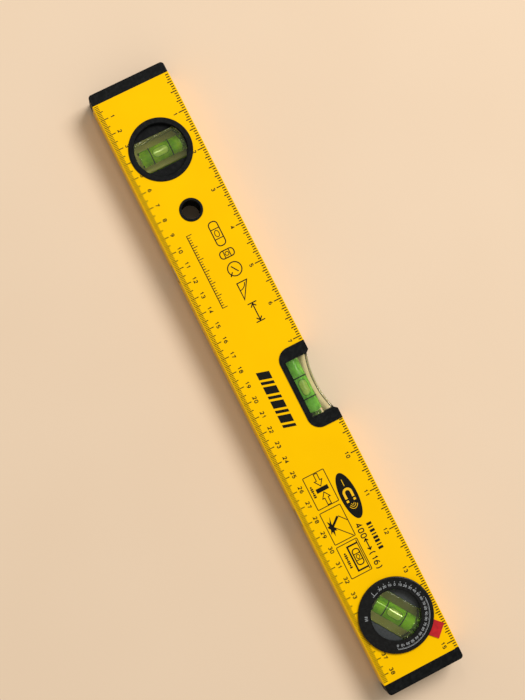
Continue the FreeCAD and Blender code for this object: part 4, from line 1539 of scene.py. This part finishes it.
@dataclass
class DialScale:
    """The dial, its white scale and the fixed red index.

    Attributes:
        recess: depth of the band that the scale is printed in.
        first_angle: where the scale starts at rest, degrees from +X.
        numbers: count of numbers; they rise to 90 and fall again in each half turn.
        step: angle between numbers.
        number_radius: from the dial's middle to a number's.
        digit: height of a digit.
        weight: width of its strokes.
        tick_inner: radius of the inner ends of the ticks.
        tick_outer: radius of their outer ends.
        tick: width of the ticks at the numbers.
        fine_tick: width of the ticks between.
        fine_cut: how much shorter those are.
        fine_share: share of the scale that has them, with the band outside them.
        band_radius: radius of that band.
        band: its width.
        corner_ahead: angle from the last number to the corner sign.
        corner: inner, middle and outer radius of the corner sign, and its line's width.
        mark_angle: direction of the three short marks.
        mark_gap: angle between them.
        mark_half: half their length.
        mark: their width.
    """

    recess: float = 0.15
    first_angle: float = -24.0
    numbers: int = 22
    step: float = 10.0
    number_radius: float = 18.05
    digit: float = 1.35
    weight: float = 0.19
    tick_inner: float = 19.3
    tick_outer: float = 20.05
    tick: float = 0.22
    fine_tick: float = 0.14
    fine_cut: float = 0.35
    fine_share: float = 0.56
    band_radius: float = 20.3
    band: float = 0.18
    corner_ahead: float = 16.0
    corner: Quad = (16.9, 17.2, 20.0, 0.26)
    mark_angle: float = 250.0
    mark_gap: float = 3.4
    mark_half: float = 0.9
    mark: float = 0.34

    def spoke(self, film: PrintedFilm, angle: float, inner: float, outer: float,
              width: float) -> None:
        """A short line that points at the dial's middle.

        Args:
            film: where to print it.
            angle: its direction from +X, degrees.
            inner: radius of its inner end.
            outer: radius of its outer end.
            width: its width.
        """
        x, y = math.cos(math.radians(angle)), math.sin(math.radians(angle))
        film.stroke([(x * inner, y * inner), (x * outer, y * outer)], width)

    def scale_film(self) -> PrintedFilm:
        """The numbers with ticks outside them, the corner sign and the three short marks."""
        low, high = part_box("dial_ring_front")
        middle = (low + high) / 2
        film = PrintedFilm(high.z / MM - self.recess)
        film.shift = Matrix.Translation((middle.x, middle.y, 0.0))
        last = self.first_angle + (self.numbers - 1) * self.step
        for number in range(self.numbers):
            angle = self.first_angle + number * self.step
            value = number * self.step % HALF_TURN
            folded = int(min(value, HALF_TURN - value))
            x, y = math.cos(math.radians(angle)), math.sin(math.radians(angle))
            film.digits(str(folded), x * self.number_radius, y * self.number_radius, self.digit,
                        self.weight, turn=angle - HALF_TURN / 2)
            self.spoke(film, angle, self.tick_inner, self.tick_outer, self.tick)
        fine_sweep = self.fine_share * (last - self.first_angle)
        fine = self.first_angle
        while fine < self.first_angle + fine_sweep:
            self.spoke(film, fine, self.tick_inner + self.fine_cut, self.tick_outer,
                       self.fine_tick)
            fine += self.step / 5
        film.stroke(oval(0, 0, self.band_radius, self.band_radius, 60, self.first_angle,
                         fine_sweep), self.band)
        corner = last + self.corner_ahead
        inner, middle_radius, outer, line = self.corner
        self.spoke(film, corner, inner, outer, line)
        film.stroke(oval(0, 0, middle_radius, middle_radius, 8, corner - 9.0, 13.0), line)
        for side in (-1, 0, 1):
            self.spoke(film, self.mark_angle + side * self.mark_gap,
                       self.number_radius - self.mark_half, self.number_radius + self.mark_half,
                       self.mark)
        return film

    def build(self, finishes: Finishes) -> None:
        """Dress the dial and index, and print the scale.

        Args:
            finishes: the level's materials.
        """
        dress(["dial_ring_front", "dial_ring_back"], finishes.dial_black)
        dress(["dial_friction_ring"], finishes.rubber)
        dress(["index_collar"], finishes.red)
        add_piece("dial_scale", self.scale_film().finished("dial_scale"), finishes.white_ink,
                  Rides.DIAL)


# ---- Studio ------------------------------------------------------------------------------------


@dataclass
class Lamp:
    """A soft rectangular lamp.

    Attributes:
        name: its name.
        place: where it hangs, millimetres.
        aim: the point it faces.
        size: its two sides.
        power: watts.
        tint: its colour.
    """

    name: str
    place: Spot
    aim: Spot
    size: Pair
    power: float
    tint: Colour

    def hang(self) -> None:
        """Add the lamp to the scene."""
        data = bpy.data.lights.new(self.name, "AREA")
        data.shape = "RECTANGLE"
        data.size, data.size_y = self.size[0] * MM, self.size[1] * MM
        data.energy = self.power
        data.color = self.tint
        lamp = bpy.data.objects.new(self.name, data)
        lamp.location = Vector(self.place) * MM
        away = Vector(self.place) - Vector(self.aim)
        lamp.rotation_euler = away.to_track_quat("Z", "Y").to_euler()
        bpy.context.scene.collection.objects.link(lamp)


@dataclass
class Studio:
    """Pale sweep, soft lamps, dim room and the camera above the level.

    Attributes:
        camera_place: where the camera is, millimetres.
        camera_aim: the point it faces.
        camera_roll: how far it is turned about its line of sight, degrees.
        lens: focal length, millimetres.
        film_height: height of its sensor, millimetres.
        clip: the nearest and furthest that it sees, metres.
        sweep_half: half the side of the floor, millimetres.
        room: colour of the dim light from all round.
        lamps: the soft lamps.
    """

    camera_place: Spot = (0.3, -84.7, 893.5)
    camera_aim: Spot = (-17.5, 0.25, 20.8)
    camera_roll: float = 63.31
    lens: float = 50.37
    film_height: float = 24.0
    clip: Pair = (0.05, 20.0)
    sweep_half: float = 1500.0
    room: Colour = (0.410, 0.385, 0.338)
    lamps: tuple[Lamp, ...] = (
        Lamp("key_lamp", (-950.0, 2080.0, 2720.0), (0.0, 0.0, 0.0), (1750.0, 1300.0), 93.0,
             (1.0, 0.984, 0.960)),
        Lamp("top_strip", (-120.0, 480.0, 1100.0), (0.0, 0.0, 0.0), (900.0, 70.0), 1.3,
             (1.0, 0.98, 0.95)),
        Lamp("side_strip", (-560.0, 98.0, 950.0), (-152.0, 0.0, 15.0), (60.0, 300.0), 0.7,
             (1.0, 0.98, 0.95)),
    )

    def lay_sweep(self) -> None:
        """Lay the pale floor that the level lies on."""
        half = self.sweep_half * MM
        work = bmesh.new()
        corners = [work.verts.new((x * half, y * half, 0.0)) for x, y in
                   ((-1, -1), (1, -1), (1, 1), (-1, 1))]
        work.faces.new(corners)
        mesh = bpy.data.meshes.new("sweep")
        work.to_mesh(mesh)
        work.free()
        mesh.materials.append(Paper().make())
        sweep = bpy.data.objects.new("sweep", mesh)
        bpy.context.scene.collection.objects.link(sweep)

    def light_room(self) -> None:
        """Even dim light from all round."""
        world = bpy.data.worlds.new("room")
        world.use_nodes = True
        background = world.node_tree.nodes["Background"]
        background.inputs["Color"].default_value = (*self.room, 1.0)
        background.inputs["Strength"].default_value = 1.0
        bpy.context.scene.world = world

    def set_camera(self) -> None:
        """Put the camera above the level, rolled so that the level runs down to the right."""
        data = bpy.data.cameras.new("camera")
        data.sensor_fit = "VERTICAL"
        data.sensor_height = self.film_height
        data.lens = self.lens
        data.clip_start, data.clip_end = self.clip
        camera = bpy.data.objects.new("camera", data)
        place = Vector(self.camera_place) * MM
        back = (place - Vector(self.camera_aim) * MM).normalized()
        side = Vector((0.0, 1.0, 0.0)).cross(back).normalized()
        up = back.cross(side)
        upright = Matrix((side, up, back)).transposed().to_4x4()
        camera.matrix_world = (Matrix.Translation(place) @ upright
                               @ Matrix.Rotation(math.radians(self.camera_roll), 4, "Z"))
        bpy.context.scene.collection.objects.link(camera)
        bpy.context.scene.camera = camera

    def build(self) -> None:
        """Set up the whole studio."""
        bpy.context.scene.view_settings.view_transform = "Standard"
        self.set_camera()
        self.lay_sweep()
        self.light_room()
        for lamp in self.lamps:
            lamp.hang()
        log.info("set up the studio with %d lamps", len(self.lamps))


# ---- Whole level -------------------------------------------------------------------------------


def write_sizes() -> None:
    """Update the view layer so that every object's place is current.
    """
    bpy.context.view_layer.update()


def main() -> None:
    """Build the studio and dress the level, piece by piece."""
    logging.basicConfig(level=logging.INFO, format="%(name)s: %(message)s")
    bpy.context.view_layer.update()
    Studio().build()
    finishes = Finishes.made()
    places = Places.read()
    ProfileAndCaps().build(finishes)
    Vial("plumb", Rides.LEVEL, turn=90.0, bore=5.1, liquid=finishes.liquid,
         acrylic=finishes.acrylic).build(finishes)
    Vial("centre", Rides.LEVEL, turn=0.0, bore=4.3, liquid=finishes.edge_liquid,
         acrylic=finishes.edge_acrylic, bubble=(9.9, 5.0), bubble_depth=1.5).build(finishes)
    Vial("dial", Rides.DIAL, turn=33.0, bore=5.1, liquid=finishes.dial_liquid,
         acrylic=finishes.acrylic).build(finishes)
    DialScale().build(finishes)
    EdgeScales(places).build(finishes)
    FaceSymbols(places).build(finishes)
    write_sizes()


if __name__ == "__main__":
    main()
